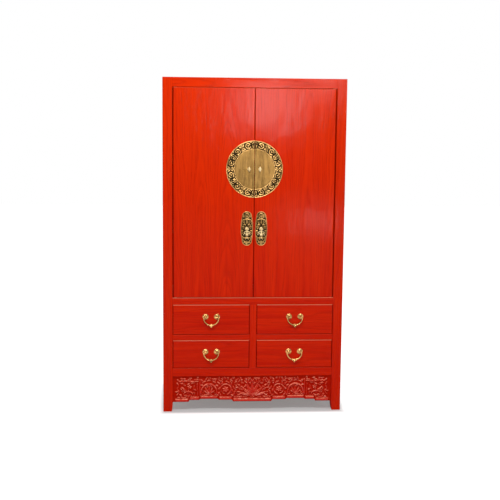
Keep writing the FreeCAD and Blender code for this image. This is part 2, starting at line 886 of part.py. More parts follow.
def pull_tack_places():
    half_width_here = pull_plate_end_width / 2 - tack_edge_distance
    half_length = pull_plate_length / 2 - tack_edge_distance
    level = pull_plate_level
    return [(pull_plate_offset, level + half_length), (pull_plate_offset, level - half_length),
            (pull_plate_offset - half_width_here, level - half_width_here * 2),
            (pull_plate_offset + half_width_here, level - half_width_here * 2)]


def tack_holes():
    y1 = door_front_y + tack_shank_length
    y0 = door_front_y - face_plate_thickness - cut_overrun
    return [rod(tack_shank_radius, y1 - y0, Vector(x, y0, z), to_back)
            for x, z in face_tack_places() + pull_tack_places()]


def lock_eye_shank(length):
    y0 = door_front_y - face_plate_thickness
    return rod(lock_eye_shank_radius, length, Vector(lock_eye_offset, y0, face_plate_level), to_back)


def staple_shank(length):
    y0 = door_front_y - pull_plate_thickness
    return rod(staple_shank_radius, length, Vector(pull_plate_offset, y0, staple_level), to_back)


def pivot_pin(z_root, z_end):
    low = min(z_root, z_end)
    return rod(pivot_radius, abs(z_end - z_root), Vector(pivot_x(), pivot_y(), low), upward)


def pivot_pins():
    return [pivot_pin(door_z1 - pivot_root, top_rail_bottom + pivot_reach),
            pivot_pin(door_z0 + pivot_root, sill_top - pivot_reach)]


def door_leaf():
    leaf = block(door_x0, door_x1, door_front_y, door_back_y, door_z0, door_z1)
    leaf = leaf.makeFillet(door_hinge_edge_round, edges_at(leaf, x=door_x1, y=door_front_y))
    edges = edges_at(leaf, x=door_x0, y=door_front_y)
    edges += edges_at(leaf, y=door_front_y, z=door_z0) + edges_at(leaf, y=door_front_y, z=door_z1)
    leaf = leaf.makeFillet(door_edge_round, edges)
    cutters = [door_batten(level) for level in batten_levels] + pivot_pins() + tack_holes()
    cutters += [lock_eye_shank(lock_eye_shank_length), staple_shank(staple_shank_length)]
    return cut_all(leaf, cutters)


def face_plate():
    y_door = door_front_y
    centre = Vector(0, y_door, face_plate_level)
    plate = rod(face_plate_radius, face_plate_thickness, centre, to_front)
    rim_height = face_plate_thickness + face_plate_rim_height
    rim = rod(face_plate_radius, rim_height, centre, to_front)
    rim = rim.cut(rod(face_plate_radius - face_plate_rim_width, rim_height, centre, to_front))
    band_radius = face_plate_radius - face_plate_band_width
    lip_height = face_plate_thickness + face_plate_band_lip_height
    lip = rod(band_radius + face_plate_band_lip_width, lip_height, centre, to_front)
    lip = lip.cut(rod(band_radius, lip_height, centre, to_front))
    pieces = [plate, rim, lip]
    orbit = (face_plate_radius - face_plate_rim_width + band_radius + face_plate_band_lip_width) / 2
    for index in range(face_plate_flower_count):
        angle = math.radians((index + 1 / 2) * 360 / face_plate_flower_count)
        x = orbit * math.cos(angle)
        z = orbit * math.sin(angle)
        if x > face_plate_flower_radius:
            start = centre + Vector(x, -face_plate_thickness, z)
            top_radius = face_plate_flower_radius - face_plate_flower_bevel
            pieces.append(Part.makeCone(face_plate_flower_radius, top_radius,
                                        face_plate_flower_height, start, to_front))
    half = block(face_plate_seam / 2, face_plate_radius + cut_overrun, y_door - rim_height - cut_overrun,
                 y_door, face_plate_level - face_plate_radius - cut_overrun,
                 face_plate_level + face_plate_radius + cut_overrun)
    plate = fuse_all(pieces).common(half)
    return cut_all(plate, tack_holes() + [lock_eye_shank(lock_eye_shank_length)])


def lock_eye_axis_y():
    return door_front_y - face_plate_thickness - lock_eye_hole_standoff


def lock_eye():
    y_plate = door_front_y - face_plate_thickness
    half = lock_eye_width / 2
    tall = lock_eye_height / 2
    x0 = lock_eye_offset - half
    x1 = lock_eye_offset + half
    y0 = y_plate - lock_eye_reach
    tab = block(x0, x1, y0, y_plate, face_plate_level - tall, face_plate_level + tall)
    tab = tab.makeFillet(lock_eye_nose_round, edges_at(tab, y=y0, z=face_plate_level - tall)
                         + edges_at(tab, y=y0, z=face_plate_level + tall))
    tab = tab.makeFillet(lock_eye_edge_round, edges_at(tab, x=x0, y=y0) + edges_at(tab, x=x1, y=y0))
    collar = rod(lock_eye_collar_radius, lock_eye_collar_thickness,
                 Vector(lock_eye_offset, y_plate, face_plate_level), to_front)
    eye = fuse_all([tab, collar, lock_eye_shank(lock_eye_shank_length)])
    hole = rod(lock_eye_hole_radius, lock_eye_width + cut_overrun * 2,
               Vector(x0 - cut_overrun, lock_eye_axis_y(), face_plate_level), to_right)
    return eye.cut(hole)


def pull_plate_face(shrink, y):
    # Long plate: bowed sides between two rounded ends
    half_length = pull_plate_length / 2 - shrink
    waist = pull_plate_waist_width / 2 - shrink
    end = pull_plate_end_width / 2 - shrink
    shoulder = pull_plate_length / 2 - pull_plate_end_width / 2

    def at(x, z):
        return Vector(pull_plate_offset + x, y, pull_plate_level + z)

    arcs = [
        Part.Arc(at(end, -shoulder), at(waist, 0), at(end, shoulder)),
        Part.Arc(at(end, shoulder), at(0, half_length), at(-end, shoulder)),
        Part.Arc(at(-end, shoulder), at(-waist, 0), at(-end, -shoulder)),
        Part.Arc(at(-end, -shoulder), at(0, -half_length), at(end, -shoulder)),
    ]
    return Part.Face(Part.Wire([arc.toShape() for arc in arcs]))


def pull_plate():
    base = pull_plate_face(0, door_front_y).extrude(Vector(0, -pull_plate_thickness, 0))
    rim_height = pull_plate_thickness + pull_plate_rim_height
    rim = pull_plate_face(0, door_front_y).extrude(Vector(0, -rim_height, 0))
    rim = rim.cut(pull_plate_face(pull_plate_rim_width, door_front_y).extrude(Vector(0, -rim_height, 0)))
    plate = fuse_all([base, rim])
    return cut_all(plate, tack_holes() + [staple_shank(staple_shank_length)])


def drop_pin_y():
    return door_front_y - pull_plate_thickness - staple_standoff


def staple():
    y_plate = door_front_y - pull_plate_thickness
    inner = drop_eye_width / 2 + drop_side_gap
    outer = inner + staple_ear_thickness
    tall = staple_ear_height / 2
    ears = []
    for side in (-1, 1):
        x0 = pull_plate_offset + min(side * inner, side * outer)
        ear = block(x0, x0 + staple_ear_thickness, drop_pin_y() - tall, y_plate, staple_level - tall,
                    staple_level + tall)
        nose = tall - edge_finding_reach * 2
        ear = ear.makeFillet(nose, edges_at(ear, y=drop_pin_y() - tall, z=staple_level - tall)
                             + edges_at(ear, y=drop_pin_y() - tall, z=staple_level + tall))
        ears.append(ear)
    pin = rod(staple_pin_radius, outer * 2, Vector(pull_plate_offset - outer, drop_pin_y(), staple_level),
              to_right)
    collar = rod(staple_collar_radius, staple_collar_thickness,
                 Vector(pull_plate_offset, y_plate, staple_level), to_front)
    return fuse_all(ears + [pin, collar, staple_shank(staple_shank_length)])


def drop_wings():
    # The flat wings under the eye, with two rounded lobes
    x = pull_plate_offset
    z = staple_level - drop_wing_level
    y0 = drop_pin_y() - drop_wing_thickness / 2
    lobe = drop_wing_height / 2
    reach = drop_wing_width / 2 - lobe
    lobes = [rod(lobe, drop_wing_thickness, Vector(x + side * reach, y0, z), to_back) for side in (-1, 1)]
    waist = drop_neck_radius
    bridge = block(x - reach, x + reach, y0, y0 + drop_wing_thickness, z - waist, z + waist)
    return lobes + [bridge]


def drop_pull():
    x = pull_plate_offset
    y = drop_pin_y()
    z = staple_level
    eye = rod(drop_eye_radius, drop_eye_width, Vector(x - drop_eye_width / 2, y, z), to_right)
    hole = rod(staple_pin_radius + drop_running_gap, drop_eye_width + cut_overrun * 2,
               Vector(x - drop_eye_width / 2 - cut_overrun, y, z), to_right)
    root = drop_eye_radius / 2
    neck = rod(drop_neck_radius, drop_bulb_level - root, Vector(x, y, z - root), downward)
    bulb = turned_bead(drop_bulb_height / 2, drop_neck_radius + drop_bulb_lip, drop_bulb_radius,
                       Vector(x, y, z - drop_bulb_level), False)
    stem = rod(drop_tip_radius / 2, drop_tip_level - drop_bulb_level, Vector(x, y, z - drop_bulb_level),
               downward)
    tip = Part.makeSphere(drop_tip_radius, Vector(x, y, z - drop_tip_level))
    return fuse_all([eye, neck, bulb, stem, tip] + drop_wings()).cut(hole)


def tack(x, z, plate_thickness):
    y_head = door_front_y - plate_thickness
    head = domed_cap(tack_head_radius, tack_head_height, Vector(x, y_head, z))
    length = door_front_y + tack_shank_length - y_head
    shank = rod(tack_shank_radius, length, Vector(x, y_head, z), to_back)
    return head.fuse(shank)


def make_doors():
    tacks = [tack(x, z, face_plate_thickness) for x, z in face_tack_places()]
    tacks += [tack(x, z, pull_plate_thickness) for x, z in pull_tack_places()]
    pieces = {
        "door_leaf": [door_leaf()],
        "door_battens": [door_batten(level) for level in batten_levels],
        "door_pivots": pivot_pins(),
        "face_plate": [face_plate()],
        "lock_eye": [lock_eye()],
        "pull_plate": [pull_plate()],
        "pull_staple": [staple()],
        "drop_pull": [drop_pull()],
        "plate_tacks": tacks,
    }
    for name, solids in pieces.items():
        save("right_" + name, solids)
        save("left_" + name, [mirrored(solid) for solid in solids])


# Drawers: built for the right side, and the left drawers mirror them

def drawer_extent(opening_bottom, opening_height):
    x0 = half_stile + drawer_gap
    x1 = inner_half - drawer_gap
    return x0, x1, opening_bottom + drawer_gap, opening_bottom + opening_height - drawer_gap


def dovetails(x0, x1, z0, z1):
    # Tails of one drawer side, wider at their ends, that fit half blind into the front
    y_shoulder = drawer_front_y + drawer_front_thickness
    y_end = y_shoulder - dovetail_length
    pitch = (z1 - z0) / dovetail_count
    half_root = pitch * dovetail_share / 2
    half_end = half_root + dovetail_flare
    tails = []
    for index in range(dovetail_count):
        middle = z0 + pitch * (index + 1 / 2)
        points = [(y_shoulder, middle - half_root), (y_shoulder, middle + half_root),
                  (y_end, middle + half_end), (y_end, middle - half_end)]
        tails.append(side_plate(points, x0, x1))
    return tails


def drawer_bottom_box(x0, x1, z0, reach):
    low = z0 + drawer_bottom_rise
    y0 = drawer_front_y + drawer_front_thickness
    return block(x0 + drawer_side_inset + drawer_side_thickness - reach,
                 x1 - drawer_side_inset - drawer_side_thickness + reach,
                 y0 - reach, drawer_front_y + drawer_length, low, low + drawer_bottom_thickness)


def drawer_pull_level(opening_bottom, opening_height, rise):
    return opening_bottom + opening_height / 2 + rise


def drawer_middle_x():
    return (half_stile + inner_half) / 2


def post_shank(x, z, length):
    return rod(pull_post_radius, length, Vector(x, drawer_front_y, z), to_back)


def drawer_pieces(opening_bottom, opening_height, rise):
    x0, x1, z0, z1 = drawer_extent(opening_bottom, opening_height)
    y0 = drawer_front_y
    y_shoulder = y0 + drawer_front_thickness
    y_end = y0 + drawer_length
    side_top = z1 - drawer_side_drop
    left_x = x0 + drawer_side_inset
    right_x = x1 - drawer_side_inset
    groove = drawer_bottom_box(x0, x1, z0, drawer_bottom_tongue)
    left_tails = dovetails(left_x, left_x + drawer_side_thickness, z0, side_top)
    right_tails = dovetails(right_x - drawer_side_thickness, right_x, z0, side_top)
    pull_z = drawer_pull_level(opening_bottom, opening_height, rise)
    pull_xs = [drawer_middle_x() - pull_post_spacing / 2, drawer_middle_x() + pull_post_spacing / 2]

    front = block(x0, x1, y0, y_shoulder, z0, z1)
    front = front.makeFillet(drawer_front_edge_round, edges_at(front, y=y0))
    front = cut_all(front, left_tails + right_tails + [groove]
                    + [post_shank(x, pull_z, pull_post_root) for x in pull_xs])
    left_side = block(left_x, left_x + drawer_side_thickness, y_shoulder, y_end, z0, side_top)
    left_side = fuse_all([left_side] + left_tails).cut(groove)
    right_side = block(right_x - drawer_side_thickness, right_x, y_shoulder, y_end, z0, side_top)
    right_side = fuse_all([right_side] + right_tails).cut(groove)
    back = block(left_x + drawer_side_thickness, right_x - drawer_side_thickness,
                 y_end - drawer_side_thickness, y_end, z0 + drawer_bottom_rise + drawer_bottom_thickness,
                 side_top - drawer_back_drop)
    return front, [left_side, right_side, back, groove], pull_xs, pull_z


def rosette(x, z):
    # A shallow dome with a thin rim, turned about the pull's post
    y = drawer_front_y
    rise = rosette_height - rosette_rim_height
    points = [Vector(pull_post_radius, 0, 0), Vector(rosette_radius, 0, 0),
              Vector(rosette_radius, -rosette_rim_height, 0)]
    crown = Vector(pull_post_radius, -rosette_height, 0)
    eighth_turn = math.radians(180) / 4
    shoulder = Vector(rosette_radius * math.cos(eighth_turn),
                      -rosette_rim_height - rise * math.sin(eighth_turn), 0)
    edges = [Part.makeLine(points[0], points[1]), Part.makeLine(points[1], points[2]),
             Part.Arc(points[2], shoulder, crown).toShape(), Part.makeLine(crown, points[0])]
    dome = Part.Face(Part.Wire(edges)).revolve(origin, to_back, 360)
    dome.translate(Vector(x, y, z))
    return dome


def bail_pin_y():
    return drawer_front_y - bail_standoff


def pull_post(x, z):
    # A pin through the drawer front with a ball head, bored across for the end of the bail
    shank = rod(pull_post_radius, pull_post_root + bail_standoff, Vector(x, bail_pin_y(), z), to_back)
    ball = Part.makeSphere(pull_post_ball_radius, Vector(x, bail_pin_y(), z))
    reach = pull_post_ball_radius + cut_overrun
    hole = rod(bail_stub_radius + bail_running_gap, reach * 2,
               Vector(x - reach, bail_pin_y(), z), to_right)
    return shank.fuse(ball).cut(hole)


def bail(pull_z):
    # A bent rod hung from the two posts by its knuckles, with a bead and a bud in the middle
    knuckle_radius = bail_rod_radius + bail_knuckle_swell
    arm = pull_post_spacing / 2 + pull_post_ball_radius + bail_side_gap + knuckle_radius
    arc_level = arm - bail_drop
    ring = Part.makeCircle(bail_rod_radius, Vector(-arm, 0, arc_level), upward)
    circle = Part.Face(Part.Wire(ring))
    pieces = [circle.revolve(Vector(0, 0, arc_level), to_front, 180)]
    stub_length = knuckle_radius + bail_side_gap + pull_post_ball_radius + bail_stub_reach
    for side in (-1, 1):
        pieces.append(rod(bail_rod_radius, -arc_level, Vector(side * arm, 0, arc_level), upward))
        pieces.append(Part.makeSphere(knuckle_radius, Vector(side * arm, 0, 0)))
        pieces.append(rod(bail_stub_radius, stub_length, Vector(side * arm, 0, 0), Vector(-side, 0, 0)))
    pieces.append(turned_bead(bail_bead_half_length, bail_rod_radius + bail_bead_lip, bail_bead_radius,
                              Vector(0, 0, -bail_drop), True))
    pieces.append(Part.makeSphere(bail_bud_radius, Vector(0, 0, -bail_drop - bail_bud_drop)))
    whole = fuse_all(pieces)
    whole.translate(Vector(drawer_middle_x(), bail_pin_y(), pull_z))
    return whole


def moved_left(shape):
    # The pulls are the same on both sides, so the left ones are the right ones moved across
    copy = shape.copy()
    copy.translate(Vector(-2 * drawer_middle_x(), 0, 0))
    return copy


def make_drawers():
    rows = [
        ("lower", bottom_rail_top, lower_drawer_opening, lower_pull_rise),
        ("upper", drawer_rail_top, upper_drawer_opening, upper_pull_rise),
    ]
    for row, opening_bottom, opening_height, rise in rows:
        front, box, pull_xs, pull_z = drawer_pieces(opening_bottom, opening_height, rise)
        pieces = {"drawer_front": [front], "drawer_box": box}
        for name, solids in pieces.items():
            save(row + "_right_" + name, solids)
            save(row + "_left_" + name, [mirrored(solid) for solid in solids])
        fittings = {
            "pull_mounts": [rosette(x, pull_z) for x in pull_xs] + [pull_post(x, pull_z) for x in pull_xs],
            "bail": [bail(pull_z)],
        }
        for name, solids in fittings.items():
            save(row + "_right_" + name, solids)
            save(row + "_left_" + name, [moved_left(solid) for solid in solids])


os.makedirs("parts", exist_ok=True)
make_posts()
make_front_frame()
make_back_and_sides()
make_boards()
make_runners()
make_front_apron()
make_side_aprons()
make_doors()
make_drawers()
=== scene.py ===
import bmesh
import bpy
import json
import math
import numpy as np
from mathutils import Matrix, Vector


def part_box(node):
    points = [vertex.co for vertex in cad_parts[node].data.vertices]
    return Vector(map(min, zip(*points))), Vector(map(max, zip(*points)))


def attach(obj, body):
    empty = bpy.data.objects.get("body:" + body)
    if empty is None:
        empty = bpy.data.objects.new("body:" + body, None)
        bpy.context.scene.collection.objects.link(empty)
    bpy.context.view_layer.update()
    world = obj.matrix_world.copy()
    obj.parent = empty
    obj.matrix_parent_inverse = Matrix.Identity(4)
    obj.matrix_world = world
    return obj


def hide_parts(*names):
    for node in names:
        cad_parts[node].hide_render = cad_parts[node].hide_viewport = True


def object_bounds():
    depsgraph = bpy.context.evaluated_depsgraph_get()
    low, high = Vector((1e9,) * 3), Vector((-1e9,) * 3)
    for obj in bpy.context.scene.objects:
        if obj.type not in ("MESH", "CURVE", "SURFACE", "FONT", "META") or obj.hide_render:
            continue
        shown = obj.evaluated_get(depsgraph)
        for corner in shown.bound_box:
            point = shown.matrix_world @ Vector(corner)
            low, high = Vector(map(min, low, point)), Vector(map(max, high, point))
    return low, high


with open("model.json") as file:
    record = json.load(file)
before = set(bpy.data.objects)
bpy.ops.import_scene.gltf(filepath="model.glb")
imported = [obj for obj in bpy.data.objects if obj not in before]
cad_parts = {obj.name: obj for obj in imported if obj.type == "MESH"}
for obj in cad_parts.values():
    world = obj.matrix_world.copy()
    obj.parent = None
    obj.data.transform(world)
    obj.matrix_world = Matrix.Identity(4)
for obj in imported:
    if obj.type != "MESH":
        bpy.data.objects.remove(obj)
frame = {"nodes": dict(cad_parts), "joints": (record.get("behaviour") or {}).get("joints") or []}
frame_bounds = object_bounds()
mm = 0.001


# Posts
# Four square elm posts, each one length of wood from foot to top, with the feet left as part of them.
# They are planed and lacquered red in many thin coats, so the open grain still shows through.

board_width = 154 * mm
heart_depth = 58 * mm
ring_spacing = 8.5 * mm
ring_unevenness = 26 * mm
ring_drift = 46 * mm
ring_lean = 0.035
board_shuffle = 9.0

lacquer_deep = (0.55, 0.0080, 0.0006, 1)
lacquer_bright = (0.69, 0.0200, 0.0008, 1)
# painted top light: the paler orange the lacquer turns toward the top
lacquer_top_lit = (0.74, 0.036, 0.0016, 1)
lacquer_in_rings = (0.40, 0.0070, 0.0008, 1)
lacquer_in_pores = (0.24, 0.0050, 0.0010, 1)
# painted shade for the rounded corners that do not face up
lacquer_gap_shade = (0.13, 0.003, 0.0008, 1)
# painted highlight on the rounded corners that face up
lacquer_corner_highlight = (1.0, 0.33, 0.19, 1)
ring_share = 0.24
pore_share = 0.36
gap_shade_share = 0.6
corner_sharpness = 6.0
grain_bump = 0.35 * mm
coat_wave = 1.6 * mm
coat_grain_share = 0.05
coat_weight = 0.075
coat_roughness = 0.12
top_light_start = 0.5
top_light_end = 2.1


def plug(tree, node, inputs):
    for socket, value in inputs.items():
        if isinstance(value, bpy.types.NodeSocket):
            tree.links.new(value, node.inputs[socket])
        else:
            node.inputs[socket].default_value = value


def shader_node(tree, kind, inputs, **settings):
    made = tree.nodes.new("ShaderNode" + kind)
    for name, value in settings.items():
        setattr(made, name, value)
    plug(tree, made, inputs)
    return made.outputs


def number(tree, operation, *values, clamped=False):
    return shader_node(tree, "Math", dict(enumerate(values)), operation=operation, use_clamp=clamped)[0]


def times(tree, first, second):
    return number(tree, "MULTIPLY", first, second)


def scaled(tree, value, scale, base):
    return number(tree, "MULTIPLY_ADD", value, scale, base)


def ranged(tree, value, low, high, first, last):
    return shader_node(tree, "MapRange", {0: value, 1: low, 2: high, 3: first, 4: last})[0]


def coordinate(tree, kind="Object"):
    return shader_node(tree, "TexCoord", {})[kind]


def separated(tree, vector):
    return shader_node(tree, "SeparateXYZ", {0: vector})


def facing_up(tree):
    # 1 where a spot of the piece faces up, -1 where it faces down
    return separated(tree, coordinate(tree, "Normal"))["Z"]


def mottle(tree, place, stretch, detail=3.0, roughness=0.5):
    spot = shader_node(tree, "VectorMath", {0: place, 1: stretch}, operation="MULTIPLY")[0]
    return shader_node(tree, "TexNoise", {"Vector": spot, "Scale": 1.0, "Detail": detail,
                                          "Roughness": roughness})[0]


def steps(tree, value, *stops):
    # A ramp from one level to the next; each stop is a place and a level
    ramp = tree.nodes.new("ShaderNodeValToRGB")
    tree.links.new(value, ramp.inputs[0])
    elements = ramp.color_ramp.elements
    while len(elements) < len(stops):
        elements.new(0.5)
    for element, (place, level) in zip(elements, stops):
        element.position = place
        element.color = (level, level, level, 1)
    return ramp.outputs[0]


def blended(tree, share, first, second):
    return shader_node(tree, "Mix", {0: share, 6: first, 7: second}, data_type="RGBA", clamp_factor=True)[2]


def tinted(tree, tone, colour, share, strength):
    return blended(tree, times(tree, share, strength), tone, colour)


def bumped(tree, height, strength, distance, **over):
    sockets = {"Height": height, "Strength": strength, "Distance": distance}
    return shader_node(tree, "Bump", sockets | over)[0]


def new_material(name):
    material = bpy.data.materials.new(name)
    material.use_nodes = True
    return material, material.node_tree, material.node_tree.nodes["Principled BSDF"]


def wood_figure(tree, along, across, shift):
    # Flat-sawn boards side by side: growth rings, pores in the early wood, streaks and a cloudy tone
    axes = separated(tree, coordinate(tree))
    through = ({"X", "Y", "Z"} - {along, across}).pop()
    position = number(tree, "ADD", axes[across], shift)
    board = number(tree, "FLOOR", number(tree, "DIVIDE", position, board_width))
    seed = number(tree, "ADD", board, shift)
    chance = shader_node(tree, "TexWhiteNoise", {"W": seed}, noise_dimensions="1D")["Value"]
    middle = times(tree, number(tree, "ADD", board, 0.5), board_width)
    sideways = number(tree, "SUBTRACT", position, middle)
    lengthways = scaled(tree, chance, board_shuffle, axes[along])
    place = shader_node(tree, "CombineXYZ", {0: sideways, 1: axes[through], 2: lengthways})[0]
    squared = scaled(tree, sideways, sideways, heart_depth ** 2)
    radius = number(tree, "ADD", number(tree, "SQRT", squared), axes[through])
    radius = scaled(tree, mottle(tree, place, (6, 6, 1.9), 2.5), ring_drift, radius)
    lean = times(tree, number(tree, "ADD", chance, 0.4), ring_lean)
    radius = scaled(tree, lengthways, lean, radius)
    years = shader_node(tree, "TexNoise", {"W": times(tree, radius, 42.0), "Scale": 1.0,
                                           "Detail": 2.0}, noise_dimensions="1D")[0]
    radius = scaled(tree, years, ring_unevenness, radius)
    ring = number(tree, "FRACT", number(tree, "DIVIDE", radius, ring_spacing))
    rings = steps(tree, ring, (0.0, 0.6), (0.1, 1.0), (0.45, 0.25), (0.8, 0.0), (1.0, 0.6))
    fine = mottle(tree, place, (620, 620, 16), 2.0, 0.6)
    pores = times(tree, steps(tree, fine, (0.52, 0.0), (0.62, 1.0)), scaled(tree, rings, 0.75, 0.25))
    streaks = mottle(tree, place, (48, 48, 1.6), 4.0, 0.6)
    cloud = mottle(tree, place, (4, 4, 1.6), 2.0)
    return {"place": place, "rings": rings, "pores": pores, "streaks": streaks, "cloud": cloud,
            "height": axes["Z"]}


def corners(tree):
    # How far a spot faces between two sides, 0 on a flat side and 1 on a corner, in two shares: the
    # corners that face up get a painted highlight, and the others get painted shade from the gaps beside
    # them
    sides = separated(tree, shader_node(tree, "VectorMath", {0: coordinate(tree, "Normal")},
                                        operation="ABSOLUTE")[0])
    flat = number(tree, "MAXIMUM", number(tree, "MAXIMUM", sides["X"], sides["Y"]), sides["Z"])
    corner = number(tree, "MULTIPLY", number(tree, "SUBTRACT", 1.0, flat), corner_sharpness, clamped=True)
    highlight_mask = times(tree, corner, ranged(tree, facing_up(tree), 0.0, 0.4, 0.0, 1.0))
    return highlight_mask, number(tree, "SUBTRACT", corner, highlight_mask)


def red_lacquer(name, along, across, shift=0.0, highlight_strength=0.2):
    material, tree, surface = new_material(name)
    wood = wood_figure(tree, along, across, shift)
    tone = blended(tree, steps(tree, wood["streaks"], (0.3, 0.0), (0.68, 1.0)), lacquer_deep, lacquer_bright)
    # painted light: the lacquer turns paler and more orange toward the top, as if lit from above
    painted_top_light = ranged(tree, wood["height"], top_light_start, top_light_end, 0.0, 0.9)
    tone = tinted(tree, tone, lacquer_top_lit, painted_top_light, steps(tree, wood["cloud"], (0.3, 0.6), (0.7, 1.0)))
    tone = tinted(tree, tone, lacquer_in_rings, wood["rings"], ring_share)
    tone = tinted(tree, tone, lacquer_in_pores, wood["pores"], pore_share)
    highlight_mask, shaded = corners(tree)
    # painted shade on the corners that do not face up, for the shade of the gaps beside them
    tone = tinted(tree, tone, lacquer_gap_shade, shaded, gap_shade_share)
    # painted highlight on the corners that face up
    tone = tinted(tree, tone, lacquer_corner_highlight, highlight_mask, highlight_strength)
    relief = scaled(tree, wood["pores"], -0.45, wood["streaks"])
    relief = scaled(tree, wood["rings"], -0.55, relief)
    wobble = mottle(tree, wood["place"], (13, 13, 6), 3.5, 0.55)
    filled = scaled(tree, relief, coat_grain_share, wobble)
    plug(tree, surface, {"Base Color": tone, "Normal": bumped(tree, relief, 0.5, grain_bump),
                         "Coat Normal": bumped(tree, filled, 1.0, coat_wave),
                         "Roughness": steps(tree, wood["streaks"], (0.3, 0.50), (0.7, 0.38)),
                         "Specular IOR Level": 0.0, "Coat Weight": coat_weight,
                         "Coat Roughness": coat_roughness})
    return material


def finish_nodes(material, *names):
    for name in names:
        for place in frame["nodes"][name].material_slots:
            place.material = material


upright_lacquer = red_lacquer("red_lacquer_upright", "Z", "X")
finish_nodes(upright_lacquer, "front_left_post", "front_right_post", "back_left_post", "back_right_post")


# Top frame and cross rails
# Rails of the same elm, tenoned into the posts: across the front and back, and from front to back.
# Their grain runs along each rail. The shorter rails and the stile divide the drawer openings.

# strength of the painted highlight on the top edges of the sill and drawer fronts
edge_highlight = 0.9

level_lacquer = red_lacquer("red_lacquer_level", "X", "Z", 0.031)
side_lacquer = red_lacquer("red_lacquer_sideways", "Y", "Z", 0.067)
sill_lacquer = red_lacquer("red_lacquer_sill", "X", "Z", 0.217, highlight_strength=edge_highlight)
finish_nodes(level_lacquer, "top_front_rail", "top_back_rail", "bottom_front_rail", "drawer_rails",
             "back_cross_rails")
finish_nodes(sill_lacquer, "door_sill_rail")
finish_nodes(side_lacquer, "top_side_rails", "side_cross_rails")
finish_nodes(upright_lacquer, "center_stile")


# Panels
# Thin boards that float in grooves in the posts and rails, free to swell and shrink.
# The back and side panels stand with their grain upright, and the top panel's grain runs across.

flank_lacquer = red_lacquer("red_lacquer_flank", "Z", "Y", 0.112)
top_lacquer = red_lacquer("red_lacquer_top", "X", "Y", 0.054)
finish_nodes(flank_lacquer, "lower_side_panels", "upper_side_panels")
finish_nodes(upright_lacquer, "back_panels")
finish_nodes(top_lacquer, "top_panel")


# Shelves, compartment floor, runners and stops
# Unlacquered boards inside the case, planed and left bare. The shelves lie on battens, and the
# drawers slide on runners between guides.

bare_pale = (0.60, 0.37, 0.17, 1)
bare_warm = (0.44, 0.23, 0.09, 1)
bare_in_rings = (0.29, 0.13, 0.045, 1)
bare_in_pores = (0.12, 0.05, 0.02, 1)
bare_bump = 0.4 * mm


def bare_wood(name, along, across, shift):
    material, tree, surface = new_material(name)
    wood = wood_figure(tree, along, across, shift)
    tone = blended(tree, steps(tree, wood["streaks"], (0.3, 0.0), (0.7, 1.0)), bare_warm, bare_pale)
    tone = tinted(tree, tone, bare_in_rings, wood["rings"], 0.5)
    tone = tinted(tree, tone, bare_in_pores, wood["pores"], 0.6)
    relief = scaled(tree, wood["rings"], -0.6, wood["streaks"])
    plug(tree, surface, {"Base Color": tone, "Normal": bumped(tree, relief, 0.6, bare_bump),
                         "Roughness": steps(tree, wood["streaks"], (0.3, 0.78), (0.7, 0.62)),
                         "Specular IOR Level": 0.3})
    return material


bare_board = bare_wood("bare_wood_across", "X", "Y", 0.04)
bare_batten = bare_wood("bare_wood_front_to_back", "Y", "X", 0.09)
finish_nodes(bare_board, "compartment_floor", "lower_shelf", "upper_shelf", "door_stops")
finish_nodes(bare_batten, "shelf_battens", "drawer_runners", "drawer_guides")


# Front apron
# A board under the bottom rail, set back from the front and tongued into the posts. Its lower edge
# steps up to the middle, with a bevelled bead on each step, and scrollwork is carved above the beads.

apron_ground_depth = 3 * mm
ground_wave = 0.25 * mm
ground_wave_across = 610
ground_wave_up = 730
ground_wave_drift = 97
bead_height = 21 * mm
bead_bevel = 5 * mm
bead_foot = -0.4 * mm
carving_cell = 0.8 * mm
carving_grain = 1.0 * mm
carving_start = 76 * mm
carving_top = 198 * mm
carving_end = 446 * mm
carving_margin = 2 * mm
carving_level = 0.94
filling_level = 0.8
filling_spacing = 18 * mm
apron_column = 1.5 * mm
apron_rows = 104
apron_steps = [(0, 53), (112, 53), (119, 64), (195.5, 64), (202.5, 70), (305.5, 70), (312.5, 64),
               (367, 64), (374, 53), (465, 53)]
apron_bead_runs = [(-112, 112), (119, 195.5), (202.5, 305.5), (312.5, 367), (374, 453)]
smooth_angle = math.radians(50)

# the darker red of the carving's ground, also the painted shade on slopes that face down
carved_deep_and_shade = (0.36, 0.0055, 0.0008, 1)
# painted highlight for the carved crests that face up
carved_highlight = (1.0, 0.27, 0.16, 1)
cut_depth = 0.5 * mm


